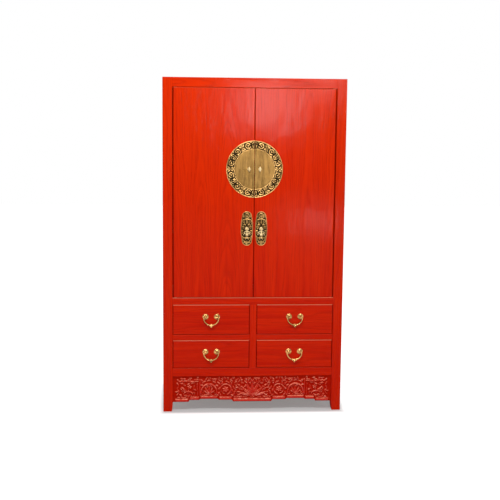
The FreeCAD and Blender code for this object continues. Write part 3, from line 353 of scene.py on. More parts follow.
class Carving:
    """A height map over a flat field, raised and cut stroke by stroke with round tools.

    The named strokes take millimetres, and their level is a share of the full rise."""

    def __init__(self, left, right, low, high, cell, grain, rise):
        self.left = left
        self.low = low
        self.cell = cell
        self.grain = grain
        self.rise = rise
        self.height = np.zeros((round((high - low) / cell) + 1, round((right - left) / cell) + 1))

    def stroke(self, line, half_width, rise, taper="round", groove=False):
        mark = np.zeros_like(self.height)
        share = np.linspace(0, 1, len(line))
        narrowing = {"round": np.ones(len(line)), "leaf": np.sin(np.pi * (0.04 + 0.92 * share)) ** 0.7,
                     "tail": 1 - 0.7 * share}[taper]
        for (x, z), width, crest in zip(line, half_width * narrowing, rise * narrowing ** 0.5):
            reach = int(width / self.cell) + 2
            column = round((x - self.left) / self.cell)
            row = round((z - self.low) / self.cell)
            rows = np.arange(max(row - reach, 0), min(row + reach + 1, mark.shape[0]))
            columns = np.arange(max(column - reach, 0), min(column + reach + 1, mark.shape[1]))
            if not len(rows) or not len(columns):
                continue
            away_x = columns * self.cell + self.left - x
            away_z = rows * self.cell + self.low - z
            away = (away_x[None, :] ** 2 + away_z[:, None] ** 2) / width ** 2
            spot = np.ix_(rows, columns)
            mark[spot] = np.maximum(mark[spot], crest * np.sqrt(np.clip(1 - away, 0, 1)))
        if groove:
            self.height = np.maximum(self.height - mark, 0)
        else:
            self.height = np.maximum(self.height, mark)

    def veined(self, line, half_width, rise):
        self.stroke(line, half_width, rise, "leaf")
        self.stroke(line, half_width * 0.22, rise * 0.4, "leaf", groove=True)

    def line(self, half_width, level, *points):
        self.stroke(flowing(in_mm(points)), half_width * mm, self.rise * level)

    def leaf(self, half_width, level, *points):
        self.veined(flowing(in_mm(points)), half_width * mm, self.rise * level)

    def knob(self, radius, level, x, z):
        self.stroke([(x * mm, z * mm)], radius * mm, self.rise * level)

    def scroll(self, half_width, level, x, z, start_radius, end_radius, start, sweep, taper="tail"):
        self.stroke(curl(x * mm, z * mm, start_radius * mm, end_radius * mm, start, sweep, self.grain),
                    half_width * mm, self.rise * level, taper)

    def arch(self, half_width, level, x, z, half_x, half_z, start, sweep):
        # Part of an oval; angles in degrees
        x, z, half_x, half_z = x * mm, z * mm, half_x * mm, half_z * mm
        count = max(int(math.radians(sweep) * (half_x + half_z) / 2 / self.grain), 8)
        angle = np.radians(start + sweep * np.linspace(0, 1, count))
        line = np.stack([x + half_x * np.cos(angle), z + half_z * np.sin(angle)], 1)
        self.stroke(line, half_width * mm, self.rise * level)

    def blossom(self, radius, x, z, petals, turn):
        x, z, radius = x * mm, z * mm, radius * mm
        for index in range(petals):
            angle = turn + 2 * math.pi * index / petals
            tip = (x + radius * math.cos(angle), z + radius * math.sin(angle))
            root = (x + radius * 0.3 * math.cos(angle), z + radius * 0.3 * math.sin(angle))
            self.stroke(flowing([root, tip]), radius * 0.36, self.rise, "leaf")
        self.stroke([(x, z)], radius * 0.3, self.rise)

    def tallest(self, x, z, reach):
        column = round((x - self.left) / self.cell)
        row = round((z - self.low) / self.cell)
        around = round(reach / self.cell)
        return self.height[max(row - around, 0):row + around + 1,
                           max(column - around, 0):column + around + 1].max(initial=0)

    def fill(self, left, right, low, high, spacing, rise, seed):
        # Small leaves and tendrils in the gaps, turned this way and that
        chance = np.random.default_rng(seed)
        for row, level in enumerate(np.arange(low, high, spacing * 0.8)):
            for start in np.arange(left + row % 2 * spacing / 2, right, spacing):
                x, z = np.array([start, level]) + chance.uniform(-0.16, 0.16, 2) * spacing
                lean = chance.uniform(0, math.pi)
                kind = chance.random()
                if self.tallest(x, z, spacing * 0.2) > rise * 0.25:
                    continue
                if kind < 0.3:
                    turn = math.degrees(lean)
                    tendril = curl(x, z, spacing * 0.42, spacing * 0.1, turn, 460, spacing / 14)
                    self.stroke(tendril, spacing * 0.17, rise, "tail")
                    continue
                reach = spacing * 0.56 * np.array([math.cos(lean), math.sin(lean)])
                bend = spacing * 0.18 * np.array([-math.sin(lean), math.cos(lean)])
                middle = np.array([x, z])
                self.veined(flowing([middle - reach, middle + bend, middle + reach]), spacing * 0.27, rise)

    def at(self, x, z):
        column = np.clip((x - self.left) / self.cell, 0, self.height.shape[1] - 1.001)
        row = np.clip((z - self.low) / self.cell, 0, self.height.shape[0] - 1.001)
        c = column.astype(int)
        r = row.astype(int)
        across = column - c
        up = row - r
        low = self.height[r, c] * (1 - across) + self.height[r, c + 1] * across
        high = self.height[r + 1, c] * (1 - across) + self.height[r + 1, c + 1] * across
        return low * (1 - up) + high * up


def flowing(points, spacing=1.0 * mm):
    # A smooth line through a few points
    points = np.array(points, float)
    ends = np.vstack([2 * points[0] - points[1], points, 2 * points[-1] - points[-2]])
    line = []
    for first, start, end, last in zip(ends, ends[1:], ends[2:], ends[3:]):
        count = max(int(np.linalg.norm(end - start) / spacing), 3)
        t = np.linspace(0, 1, count, endpoint=False)[:, None]
        line.append(0.5 * (2 * start + (end - first) * t + (2 * first - 5 * start + 4 * end - last) * t ** 2
                           + (3 * start - first - 3 * end + last) * t ** 3))
    return np.vstack(line + [points[-1:]])


def curl(x, z, start_radius, end_radius, start, sweep, spacing):
    # A spiral about a centre, from one radius to another; angles in degrees, sweep is signed
    length = math.radians(abs(sweep)) * (start_radius + end_radius) / 2
    t = np.linspace(0, 1, max(int(length / spacing), 8))
    radius = start_radius * (end_radius / start_radius) ** t
    angle = np.radians(start + sweep * t)
    return np.stack([x + radius * np.cos(angle), z + radius * np.sin(angle)], 1)


def in_mm(points):
    return [(x * mm, z * mm) for x, z in points]


def carve_palmette(field):
    # Two rows of petals fan out over a seed head, with curls at their feet
    for turn in (0, 27, 54, 80):
        lean = math.radians(turn)
        tip = (78 * math.sin(lean), 96 + 80 * math.cos(lean))
        bend = (44 * math.sin(lean * 1.12), 96 + 42 * math.cos(lean * 1.12))
        field.leaf(8.6, 0.86, (0, 92), bend, tip)
        field.knob(4.2, 1, *tip)
    for turn in (13, 40, 66):
        lean = math.radians(turn)
        field.leaf(6.2, 1, (0, 90), (24 * math.sin(lean), 90 + 24 * math.cos(lean)),
                   (46 * math.sin(lean), 90 + 46 * math.cos(lean)))
    field.arch(3, 1, 0, 90, 13, 11, 0, 360)
    field.knob(7, 1, 0, 90)
    field.scroll(3.4, 0.9, 84, 106, 15, 4, 200, 420)
    field.scroll(3.2, 0.85, 100, 160, 13, 3.5, 250, -400)
    field.leaf(3.6, 0.8, (58, 84), (74, 82), (98, 86))
    field.leaf(4.5, 0.9, (96, 122), (108, 134), (114, 146))


def carve_ring(field):
    # An oval scroll around a blossom, with leaves in the four corners
    field.scroll(5.2, 1, 157, 128, 33, 27, 250, -330)
    field.blossom(17, 157, 126, 6, 0.3)
    field.leaf(4.6, 0.95, (134, 158), (142, 170), (158, 176))
    field.leaf(4.8, 0.95, (188, 150), (196, 164), (206, 172))
    field.leaf(4.0, 0.8, (172, 172), (184, 178), (197, 181))
    field.leaf(4.2, 0.8, (122, 104), (118, 116), (122, 130))
    field.leaf(4.4, 0.8, (188, 112), (197, 104), (199, 92))
    field.scroll(2.8, 0.8, 120, 172, 9, 3, 0, 380)


def carve_arch(field):
    # An arched stem with a spray of leaves under it
    field.arch(4.8, 1, 254, 98, 47, 62, 4, 172)
    for width, bend, tip in ((6.5, (252, 124), (254, 150)), (6.0, (238, 122), (230, 142)),
                             (6.0, (270, 122), (278, 142)), (5.4, (236, 112), (222, 118)),
                             (5.4, (272, 112), (286, 118))):
        field.leaf(width, 0.92, (254, 100), bend, tip)
    field.blossom(10, 254, 104, 5, 0.9)
    field.scroll(2.6, 0.85, 218, 104, 9, 2.6, 180, 380)
    field.scroll(2.6, 0.85, 290, 104, 9, 2.6, 0, -380)
    field.leaf(4.2, 0.8, (212, 160), (222, 172), (238, 178))
    field.leaf(4.2, 0.8, (296, 160), (286, 172), (270, 178))
    field.leaf(4.2, 0.8, (242, 174), (254, 182), (266, 174))


def carve_end_block(field):
    # A framed block beside the post: stepped and waved lines on top, a sprig inside, and a divider bar
    field.line(3.6, 0.8, (307, 92), (307, 140), (307, 186))
    for drop, level in ((0, 1.0), (9.5, 0.85)):
        stairs = [(318, 185 - drop), (338, 185 - drop), (339, 176 - drop), (362, 176 - drop),
                  (363, 185 - drop), (378, 185 - drop)]
        for start, end in zip(stairs, stairs[1:]):
            field.line(2.9, level, start, end)
    wave = [(378, 183), (386, 173), (395, 182), (404, 171), (413, 182), (422, 171), (431, 180), (442, 186)]
    for start, end in zip(wave, wave[1:]):
        middle = ((start[0] + end[0]) / 2, (start[1] + end[1]) / 2 + 1.5)
        field.leaf(4.0, 1, start, middle, end)
    field.line(3.0, 0.75, (322, 90), (321, 125), (323, 160))
    field.line(3.2, 0.8, (440, 166), (432, 150), (438, 130), (430, 112), (441, 94))
    field.arch(3.4, 0.9, 376, 96, 27, 19, 0, 180)
    field.blossom(12, 368, 141, 5, 0.4)
    field.leaf(4.2, 0.85, (376, 98), (377, 110), (370, 128))
    field.leaf(5.0, 0.85, (384, 120), (400, 128), (412, 142))
    field.leaf(4.8, 0.85, (350, 118), (342, 134), (340, 152))
    field.scroll(2.8, 0.8, 408, 112, 10, 3, 180, -400)
    field.scroll(2.6, 0.8, 400, 156, 8, 2.6, 200, 380)
    field.scroll(2.6, 0.8, 340, 104, 8, 2.6, 0, 380)


def smooth_step(value, low, high):
    share = np.clip((value - low) / (high - low), 0, 1)
    return share * share * (3 - 2 * share)


def sheet_mesh(name, x, y, z, back_y, recess):
    # A closed body: a grid of points in front, side walls, and a flat back
    rows, columns = x.shape
    body = bmesh.new()
    depth = body.verts.layers.float.new("recess")
    points = []
    for place, dark in zip(np.stack([x, y, z], -1).reshape(-1, 3), recess.ravel()):
        point = body.verts.new(place)
        point[depth] = dark
        points.append(point)
    for row in range(rows - 1):
        for column in range(columns - 1):
            first = row * columns + column
            body.faces.new([points[first], points[first + 1], points[first + columns + 1],
                            points[first + columns]])
    bmesh.ops.remove_doubles(body, verts=body.verts, dist=0.01 * mm)
    rim = [edge for edge in body.edges if edge.is_boundary]
    skirt = bmesh.ops.extrude_edge_only(body, edges=rim)["geom"]
    for part in skirt:
        if isinstance(part, bmesh.types.BMVert):
            part.co.y = back_y
            part[depth] = 0.0
    low_edges = [part for part in skirt if isinstance(part, bmesh.types.BMEdge) and part.is_boundary]
    bmesh.ops.edgeloop_fill(body, edges=low_edges)
    bmesh.ops.recalc_face_normals(body, faces=body.faces)
    return finished_mesh(name, body)


def finished_mesh(name, body):
    mesh = bpy.data.meshes.new(name)
    body.to_mesh(mesh)
    body.free()
    mesh.shade_smooth()
    mesh.set_sharp_from_angle(angle=smooth_angle)
    return mesh


def placed(name, data):
    thing = bpy.data.objects.new(name, data)
    bpy.context.scene.collection.objects.link(thing)
    return thing


def add_piece(name, mesh, material, body, slot, *nodes):
    piece = placed(name, mesh)
    mesh.materials.append(material)
    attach(piece, body)
    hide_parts(*nodes)


def apron_board():
    lowest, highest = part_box("front_apron")
    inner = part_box("front_right_post")[0].x
    ground_y = lowest.y + bead_bevel + apron_ground_depth
    rise = ground_y - lowest.y
    field = Carving(0, inner, 0, highest.z, carving_cell, carving_grain, rise * carving_level)
    for carve in (carve_palmette, carve_ring, carve_arch, carve_end_block):
        carve(field)
    field.fill(0, carving_end, carving_start, carving_top, filling_spacing, rise * filling_level, 7)
    step_x, step_z = zip(*in_mm(apron_steps))
    across = np.concatenate([np.arange(0, inner, apron_column), step_x])
    across = np.unique(np.round(np.concatenate([-across, across]), 6))
    low = np.interp(np.abs(across), step_x, step_z)
    x = np.tile(across, (apron_rows, 1))
    z = low + (highest.z - low) * np.linspace(0, 1, apron_rows)[:, None]
    over_edge = z - low
    bead = np.zeros_like(x)
    for start, end in in_mm(apron_bead_runs):
        for run_start, run_end in ((start, end), (-end, -start)):
            inside = np.minimum(np.minimum(x - run_start, run_end - x),
                                np.minimum(over_edge, bead_height - over_edge))
            bead = np.maximum(bead, smooth_step(inside, bead_foot, bead_bevel) * rise)
    relief = field.at(np.abs(x), z) * smooth_step(over_edge, bead_height, bead_height + carving_margin)
    drift = np.sin(x * ground_wave_drift) * 2
    waves = np.sin(x * ground_wave_across) * np.sin(z * ground_wave_up + drift)
    height = np.maximum(bead, relief) + ground_wave * waves
    recess = 1 - smooth_step(height, 0.05 * rise, 0.6 * rise)
    return sheet_mesh("front_apron_board", x, ground_y - height, z, highest.y, recess)


def recess_of(tree):
    return shader_node(tree, "Attribute", {}, attribute_name="recess")["Fac"]


def carved_lacquer(name):
    # The same lacquer over carving, darker in the ground of the carving, with painted shade on the
    # slopes that face down and a painted highlight where the crests face up
    material, tree, surface = new_material(name)
    wood = wood_figure(tree, "X", "Z", 0.02)
    tone = blended(tree, steps(tree, wood["streaks"], (0.3, 0.0), (0.7, 1.0)), lacquer_deep, lacquer_bright)
    depth = recess_of(tree)
    upward = facing_up(tree)
    tone = tinted(tree, tone, carved_deep_and_shade, depth, 0.66)
    # painted shade: the slopes that face down are darkened
    tone = blended(tree, ranged(tree, upward, -0.05, -0.6, 0.0, 0.65), tone, carved_deep_and_shade)
    patches = steps(tree, mottle(tree, wood["place"], (90, 90, 60), 3.0), (0.44, 0.2), (0.56, 1.0))
    raised = scaled(tree, depth, -0.6, 1.0)
    # painted highlight on the crests that face up
    highlight_mask = times(tree, ranged(tree, upward, 0.16, 0.5, 0.0, 1.0), raised)
    tone = tinted(tree, tone, carved_highlight, highlight_mask, patches)
    cuts = bumped(tree, mottle(tree, wood["place"], (260, 260, 160), 3.0, 0.6), 0.6, cut_depth)
    plug(tree, surface, {"Base Color": tone, "Normal": cuts, "Coat Normal": cuts,
                         "Roughness": steps(tree, depth, (0.0, 0.34), (1.0, 0.6)),
                         "Coat Weight": steps(tree, depth, (0.0, 0.45), (0.6, 0.03)),
                         "Specular IOR Level": 0.0, "Coat Roughness": 0.16})
    return material


carving_finish = carved_lacquer("red_lacquer_carved")
add_piece("front_apron_board", apron_board(), carving_finish, "carcass", "carved_lacquer", "front_apron")


# Side aprons
# Plain boards with a stepped lower edge, tongued between the front and back posts on each side.

finish_nodes(side_lacquer, "side_aprons")


# Door leaves, battens and pivots
# Each door is an upright board with two battens dovetailed across its back. It turns on round wooden
# pivots at its outer edge, so no hinge shows on the front.

door_lacquer = red_lacquer("red_lacquer_doors", "Z", "X", 0.0775)
finish_nodes(door_lacquer, "left_door_leaf", "right_door_leaf")
finish_nodes(level_lacquer, "left_door_battens", "right_door_battens")
finish_nodes(bare_board, "left_door_pivots", "right_door_pivots")


# Round face plate
# A cast and chased brass plate, sawn down the middle so that each door carries one half. A bright rim
# runs round a band of scrollwork with dark recesses, and the middle is left plain and tarnished.

plate_thickness = 1.5 * mm
face_rim_width = 5 * mm
face_rim_rows = np.array([0.07, 0.22, 0.45, 0.7, 0.88, 0.96, 1])
face_band_width = 48 * mm
face_lip_width = 2.5 * mm
face_lip_rise = 1.2 * mm
face_dish = 0.25 * mm
face_columns = 481
face_angles = np.radians(np.linspace(-90, 90, face_columns))
face_repeat = math.radians(60)
scroll_cell = 0.4 * mm
scroll_grain = 0.6 * mm
scroll_rise = 1.9 * mm
band_margin = 1.5 * mm
field_depth = 0.28
crevice_width = 9 * mm
cast_bump = 0.25 * mm
dent_depth = 1.2 * mm

brass_gold = (0.84, 0.55, 0.22, 1)
brass_pink = (0.95, 0.56, 0.20, 1)
brass_aged = (0.130, 0.068, 0.016, 1)
# the tarnish colour, also used as painted shade on the sides that face down
brass_tarnish_and_shade = (0.046, 0.025, 0.008, 1)
brass_recess_and_shade = (0.018, 0.012, 0.005, 1)


def brass(name, clean, aged, tarnish, underside_shade, roughness):
    # Metal with grime in its recesses and painted shade where other parts come close, tarnish that
    # has run down it, painted shade on the sides that face down, and fine rubbing marks
    material, tree, surface = new_material(name)
    place = coordinate(tree)
    patches = mottle(tree, place, (26, 26, 14), 4.0, 0.6)
    depth = recess_of(tree)
    crest = steps(tree, depth, (0.0, 1.0), (field_depth, 0.12))
    tone = tinted(tree, aged, clean, crest, steps(tree, patches, (0.34, 0.35), (0.62, 1.0)))
    runs = mottle(tree, place, (70, 70, 9), 4.0, 0.6)
    unrubbed = scaled(tree, crest, -0.6, 1.0)
    tone = tinted(tree, tone, brass_tarnish_and_shade, unrubbed, steps(tree, runs, (0.42, 0.0), (0.7, tarnish)))
    # painted shade: the sides that face down are darkened
    tone = blended(tree, ranged(tree, facing_up(tree), 0.0, -0.7, 0.0, underside_shade), tone, brass_tarnish_and_shade)
    grime_and_shade = number(tree, "ADD", depth, times(tree, patches, 0.12))
    grime_and_shade = steps(tree, grime_and_shade, (0.4, 0.0), (0.72, 0.95))
    # painted shade: ambient occlusion darkens the metal where other parts come close
    open_air = shader_node(tree, "AmbientOcclusion", {"Distance": crevice_width}, samples=6)["AO"]
    grime_and_shade = number(tree, "MAXIMUM", grime_and_shade, steps(tree, open_air, (0.25, 0.8), (0.62, 0.0)))
    cast = bumped(tree, mottle(tree, place, (330, 330, 330), 3.0, 0.6), 0.5, cast_bump)
    dented = bumped(tree, mottle(tree, place, (45, 45, 45), 2.0), 0.5, dent_depth, Normal=cast)
    rough = scaled(tree, patches, 0.22, roughness)
    plug(tree, surface, {"Base Color": blended(tree, grime_and_shade, tone, brass_recess_and_shade), "Metallic": 1.0,
                         "Normal": dented, "Roughness": scaled(tree, grime_and_shade, 0.3, rough)})
    return material


antique_brass = brass("antique_brass", brass_pink, brass_aged, 0.8, 0.25, 0.24)


def frame_radius(node):
    lowest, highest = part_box(node)
    return max(abs(lowest.x), abs(highest.x))


def scroll_band():
    # One sixth of the band, laid out flat: half of a scroll group, mirrored about its middle
    half_width = (face_band_width - face_rim_width - face_lip_width) / 2
    orbit = frame_radius("right_face_plate") - face_rim_width - half_width
    half_length = orbit * face_repeat / 2
    field = Carving(0, half_length, -half_width, half_width, scroll_cell, scroll_grain, scroll_rise)
    end = half_length / mm
    heart = end / 2 + 1
    field.leaf(2.6, 1, (0, -16), (0, -2), (0, 12))
    field.leaf(2.8, 0.9, (2, -17), (9, -9), (9.5, 4))
    field.line(2.0, 0.9, (0, 17), (6, 14), (12, 8))
    field.scroll(2.9, 1, heart, 0, 15, 13, -150, 300, "round")
    field.knob(4.4, 1, heart, 0)
    for turn in (30, 150, 270):
        x = math.cos(math.radians(turn))
        z = math.sin(math.radians(turn))
        field.leaf(2.0, 0.8, *[(heart + reach * x, reach * z) for reach in (4, 7.5, 11)])
    for lift in (-1, 1):
        field.leaf(2.4, 0.9, (12, 18 * lift), (19, 16.5 * lift), (25, 18.5 * lift))
        field.leaf(3.8, 1, (end - 14, 16 * lift), (end - 8, 9 * lift), (end - 2.5, 4 * lift))
        field.leaf(3.6, 0.9, (end - 4, 12 * lift), (end - 1, 16 * lift), (end, 19 * lift))
    field.knob(2.6, 1, end, 0)
    return field


def half_round(place, start, width):
    # How high a half round rim stands, from 0 to 1
    return np.sqrt(np.clip(1 - ((place - start - width / 2) / (width / 2)) ** 2, 0, 1))


def face_plate_half(side):
    lowest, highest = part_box(side + "_face_plate")
    way = 1 if side == "right" else -1
    outer = frame_radius(side + "_face_plate")
    seam = min(abs(lowest.x), abs(highest.x))
    inner_band = outer - face_band_width
    band_start = inner_band + face_lip_width
    band_end = outer - face_rim_width
    radii = np.concatenate([np.linspace(0, inner_band - 1 * mm, 14),
                            inner_band + np.array([0, 0.4, 0.9, 1.6]) * mm,
                            np.linspace(band_start, band_end, 66),
                            band_end + face_rim_rows * face_rim_width])
    radius, angle = np.meshgrid(radii, face_angles, indexing="ij")
    x = way * (seam + (outer - seam) / outer * radius * np.cos(angle))
    z = (lowest.z + highest.z) / 2 + radius * np.sin(angle)
    field = scroll_band()
    turned_by = np.abs(np.abs(angle) % face_repeat - face_repeat / 2)
    along = turned_by / (face_repeat / 2) * (field.height.shape[1] - 1) * field.cell
    in_band = smooth_step(radius, band_start, band_start + band_margin)
    in_band = in_band * (1 - smooth_step(radius, band_end - band_margin, band_end))
    relief = field.at(along, radius - (band_start + band_end) / 2) * in_band
    ground = in_band * (1 - smooth_step(relief / scroll_rise, 0.15, 0.65))
    plainer = 1 - 0.5 * smooth_step(turned_by, face_repeat * 0.36, face_repeat * 0.42)
    recess = np.maximum(ground * plainer, field_depth * (radius < inner_band - 0.5 * mm))
    lip = half_round(radius, inner_band, face_lip_width) * face_lip_rise
    rim = half_round(radius, band_end, face_rim_width) * (highest.y - lowest.y - plate_thickness)
    dish = np.where(radius < inner_band, face_dish * (1 - (radius / inner_band) ** 2), 0)
    height = plate_thickness + np.maximum(relief, np.maximum(lip, rim)) + dish
    return sheet_mesh(side + "_face_plate", x, highest.y - height, z, highest.y, recess)


def add_to_doors(ending, make, material, body, slot, node):
    for side in ("left", "right"):
        add_piece(side + ending, make(side), material, body + side, slot, side + node)


add_to_doors("_face_plate_cast", face_plate_half, antique_brass, "door_", "antique_brass", "_face_plate")


# Lock eyes
# A thick brass ring on each half of the face plate, bored for the bar of a padlock. Its shank goes
# through the plate and the door, and a domed collar covers the hole.

eye_bore = 4 * mm
eye_half_width = 4.5 * mm
eye_side_wall = 2.5 * mm
eye_end_wall = 6.2 * mm
eye_sections = 56
eye_collar = [(0, 9.5), (0.4, 9.31), (1.4, 8.17), (2.4, 5.89), (3.2, 3.8)]
eye_shank_radius = 3 * mm
sunk_depth = 1 * mm

brass_polished = (0.95, 0.76, 0.42, 1)

bright_brass = brass("bright_brass", brass_polished, brass_gold, 0.1, 0.7, 0.34)


def skin(body, loops, closed=False):
    # Skin stretched over a row of rings, with flat ends, or with the last ring joined to the first
    rows = [[body.verts.new(point) for point in loop] for loop in loops]
    pairs = list(zip(rows, rows[1:]))
    if closed:
        pairs.append((rows[-1], rows[0]))
    else:
        body.faces.new(rows[0])
        body.faces.new(rows[-1])
    for first, second in pairs:
        for index in range(len(first)):
            after = (index + 1) % len(first)
            body.faces.new([first[index], first[after], second[after], second[index]])


def turned(body, place, direction, profile, sides=40, lobes=0, lobe_depth=0.0):
    # Round work about an axis; the profile is a row of distances along the axis and radii
    across = Vector(direction).orthogonal().normalized() if direction[0] else Vector((1, 0, 0))
    upright = Vector(direction).cross(across)
    loops = []
    for along, radius in profile:
        loop = []
        for index in range(sides):
            angle = 2 * math.pi * index / sides
            reach = radius * (1 - lobe_depth * (0.5 - 0.5 * math.cos(lobes * angle)))
            loop.append(Vector(place) + Vector(direction) * along
                        + (across * math.cos(angle) + upright * math.sin(angle)) * reach)
        loops.append(loop)
    skin(body, loops)


def oval_section(half_width, middle, half_wall, count):
    angles = [2 * math.pi * turn / count for turn in range(count)]
    return [(half_width * math.sin(angle), middle + half_wall * math.cos(angle)) for angle in angles]


def bored(body, place, sections):
    # A ring round an axis from left to right, one section after another; a section's points are
    # distances along the axis and away from it
    x, y, z = place
    loops = []
    for step, section in enumerate(sections):
        around = 2 * math.pi * step / len(sections)
        loops.append([(x + along, y + reach * math.cos(around), z + reach * math.sin(around))
                      for along, reach in section])
    skin(body, loops, closed=True)


def collar_and_shank(body, x, z, plate_y, back_y, collar, radius):
    turned(body, (x, plate_y, z), (0, -1, 0), in_mm(collar))
    turned(body, (x, plate_y - sunk_depth, z), (0, 1, 0), [(0, radius), (back_y - plate_y, radius)])


def joined(name, body):
    bmesh.ops.remove_doubles(body, verts=body.verts, dist=0.005 * mm)
    bmesh.ops.recalc_face_normals(body, faces=body.faces)
    return finished_mesh(name, body)


def lock_eye(side):
    lowest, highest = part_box(side + "_lock_eye")
    x = (lowest.x + highest.x) / 2
    z = (lowest.z + highest.z) / 2
    plate_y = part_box(side + "_face_plate")[1].y - plate_thickness
    body = bmesh.new()
    sections = []
    for step in range(eye_sections):
        upright = math.sin(2 * math.pi * step / eye_sections) ** 2
        wall = eye_side_wall + (eye_end_wall - eye_side_wall) * upright
        sections.append(oval_section(eye_half_width, eye_bore + wall + 0.05 * mm, wall * 0.98, 20))
    bored(body, (x, (lowest.y + plate_y) / 2, z), sections)
    collar_and_shank(body, x, z, plate_y, highest.y, eye_collar, eye_shank_radius)
    return joined(side + "_lock_eye", body)


add_to_doors("_lock_eye_ring", lock_eye, bright_brass, "door_", "bright_brass", "_lock_eye")


# Long plates
# A brass plate with bowed sides and round ends under the face plate on each door, with a raised rim.
# Scrollwork is chased inside the rim, dark in its recesses: a cartouche, leaves, and scallops below.

plate_end_radius = 28 * mm
plate_rim_width = 3 * mm
plate_rim_rise = 2 * mm
plate_rim_rows = np.array([2.7, 2.2, 1.5, 0.8, 0.3, 0.1, 0]) * mm
plate_relief = 1.7 * mm
plate_margin = 1.2 * mm
plate_filling = 9 * mm
plate_filling_level = 0.85
plate_dullness = 0.13


def long_plate_field(half_width, half_length):
    field = Carving(0, half_width, -half_length, half_length, scroll_cell, scroll_grain, plate_relief)
    field.arch(2.8, 1, 0, 72, 13, 15, -90, 180)
    field.leaf(3.6, 1, (0, 60), (0, 72), (0, 83))
    field.leaf(2.4, 0.9, (0, 62), (5, 70), (7, 78))
    field.leaf(3.8, 0.9, (18, 62), (22, 72), (19, 84))
    field.scroll(2.8, 1, 17, 42, 11, 2.5, 110, -500)
    field.line(2.8, 1, (0, 54), (7, 52), (14, 53))
    field.leaf(4.6, 1, (0, 26), (0, 38), (0, 48))
    field.leaf(3.8, 0.9, (28, 48), (30, 34), (25, 22))
    field.leaf(3.8, 1, (4, 20), (12, 24), (22, 20))
    field.scroll(2.7, 1, 22, 6, 8, 2.2, 90, 480)
    field.knob(8, 1, 0, -2)
    field.leaf(3.8, 0.9, (20, -8), (25, -13), (31, -10))
    field.scroll(2.4, 1, 25, -26, 5.5, 1.5, 100, 400)
    field.leaf(3.8, 0.9, (30, -34), (28, -44), (20, -51))
    field.leaf(3.0, 0.9, (0, -51), (6, -50), (12, -54))
    for x, half in ((0, 8.5), (16, 7.5)):
        field.arch(2.4, 1, x, -62, half, 9, -8, 196)
    for x, z in ((8, -72), (0, -74), (19, -74)):
        field.arch(2.2, 0.9, x, z, 7, 8, 180, 180)
    field.leaf(3.4, 1, (0, -96), (0, -90), (0, -84))
    for low, high, seed in ((12 * mm, half_length, 11), (-half_length, -54 * mm, 12)):
        field.fill(1 * mm, half_width, low, high, plate_filling, plate_relief * plate_filling_level, seed)
    return field


def long_plate(side):
    lowest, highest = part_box(side + "_pull_plate")
    middle = (lowest.x + highest.x) / 2
    level = (lowest.z + highest.z) / 2
    waist = (highest.x - lowest.x) / 2
    half_length = (highest.z - lowest.z) / 2
    end = plate_end_radius
    shoulder = half_length - end
    # The side is an arc through both shoulders and the waist
    bow = waist - end
    arc_radius = (bow ** 2 + shoulder ** 2) / (2 * bow)
    side_z = np.linspace(-shoulder, shoulder, 150)
    side_x = waist - arc_radius + np.sqrt(arc_radius ** 2 - side_z ** 2)
    cap = np.linspace(0, math.pi, 90)[1:-1]
    edge_x = np.concatenate([side_x, end * np.cos(cap), -side_x[::-1], -end * np.cos(cap), side_x[:1]])
    edge_z = np.concatenate([side_z, shoulder + end * np.sin(cap), side_z[::-1],
                             -shoulder - end * np.sin(cap), side_z[:1]])
    spine_z = np.clip(edge_z, -shoulder, shoulder)
    share = np.concatenate([np.linspace(0, (end - plate_rim_width) / end, 42), 1 - plate_rim_rows / end])
    share = share[:, None]
    x = edge_x * share
    z = spine_z + (edge_z - spine_z) * share
    from_edge = np.hypot(edge_x, edge_z - spine_z) * (1 - share)
    rim = half_round(from_edge, 0, plate_rim_width) * plate_rim_rise
    open_face = smooth_step(from_edge, plate_rim_width, plate_rim_width + plate_margin)
    relief = long_plate_field(waist, half_length).at(np.abs(x), z) * open_face
    recess = open_face * (1 - smooth_step(relief / plate_relief, 0.1, 0.6))
    recess = np.maximum(recess, plate_dullness * open_face)
    height = plate_thickness + np.maximum(relief, rim)
    return sheet_mesh(side + "_long_plate", x + middle, highest.y - height, z + level, highest.y, recess)


add_to_doors("_long_plate", long_plate, antique_brass, "door_", "antique_brass", "_pull_plate")


# Staples
# A brass staple over each long plate, bent up into an arch and driven through the door. A pin crosses
# it to carry the drop, and a round collar sits under its feet.

staple_rod = 2.2 * mm
staple_foot_level = -8 * mm
staple_collar = [(0, 10.5), (0.5, 10.29), (1.2, 9.45), (1.5, 7.35), (1.5, 2.1)]
staple_shank_radius = 2.5 * mm
pin_radius = 2 * mm
pin_end_radius = 1.2 * mm
pin_chamfer = 0.5 * mm
pin_inset = 0.6 * mm


def frame_place(joint):
    for entry in frame["joints"]:
        if entry["name"] == joint:
            return Vector(entry["pos_m"])


def swept(body, line, radii, sides):
    # A round rod bent along a line
    line = [Vector(point) for point in line]
    loops = []
    across = None
    for index, (point, radius) in enumerate(zip(line, radii)):
        ahead = (line[min(index + 1, len(line) - 1)] - line[max(index - 1, 0)]).normalized()
        across = ahead.orthogonal() if across is None else across - ahead * across.dot(ahead)
        across = across.normalized()
        upright = ahead.cross(across)
        loops.append([point + (across * math.cos(turn) + upright * math.sin(turn)) * radius
                      for turn in (2 * math.pi * step / sides for step in range(sides))])
    skin(body, loops)


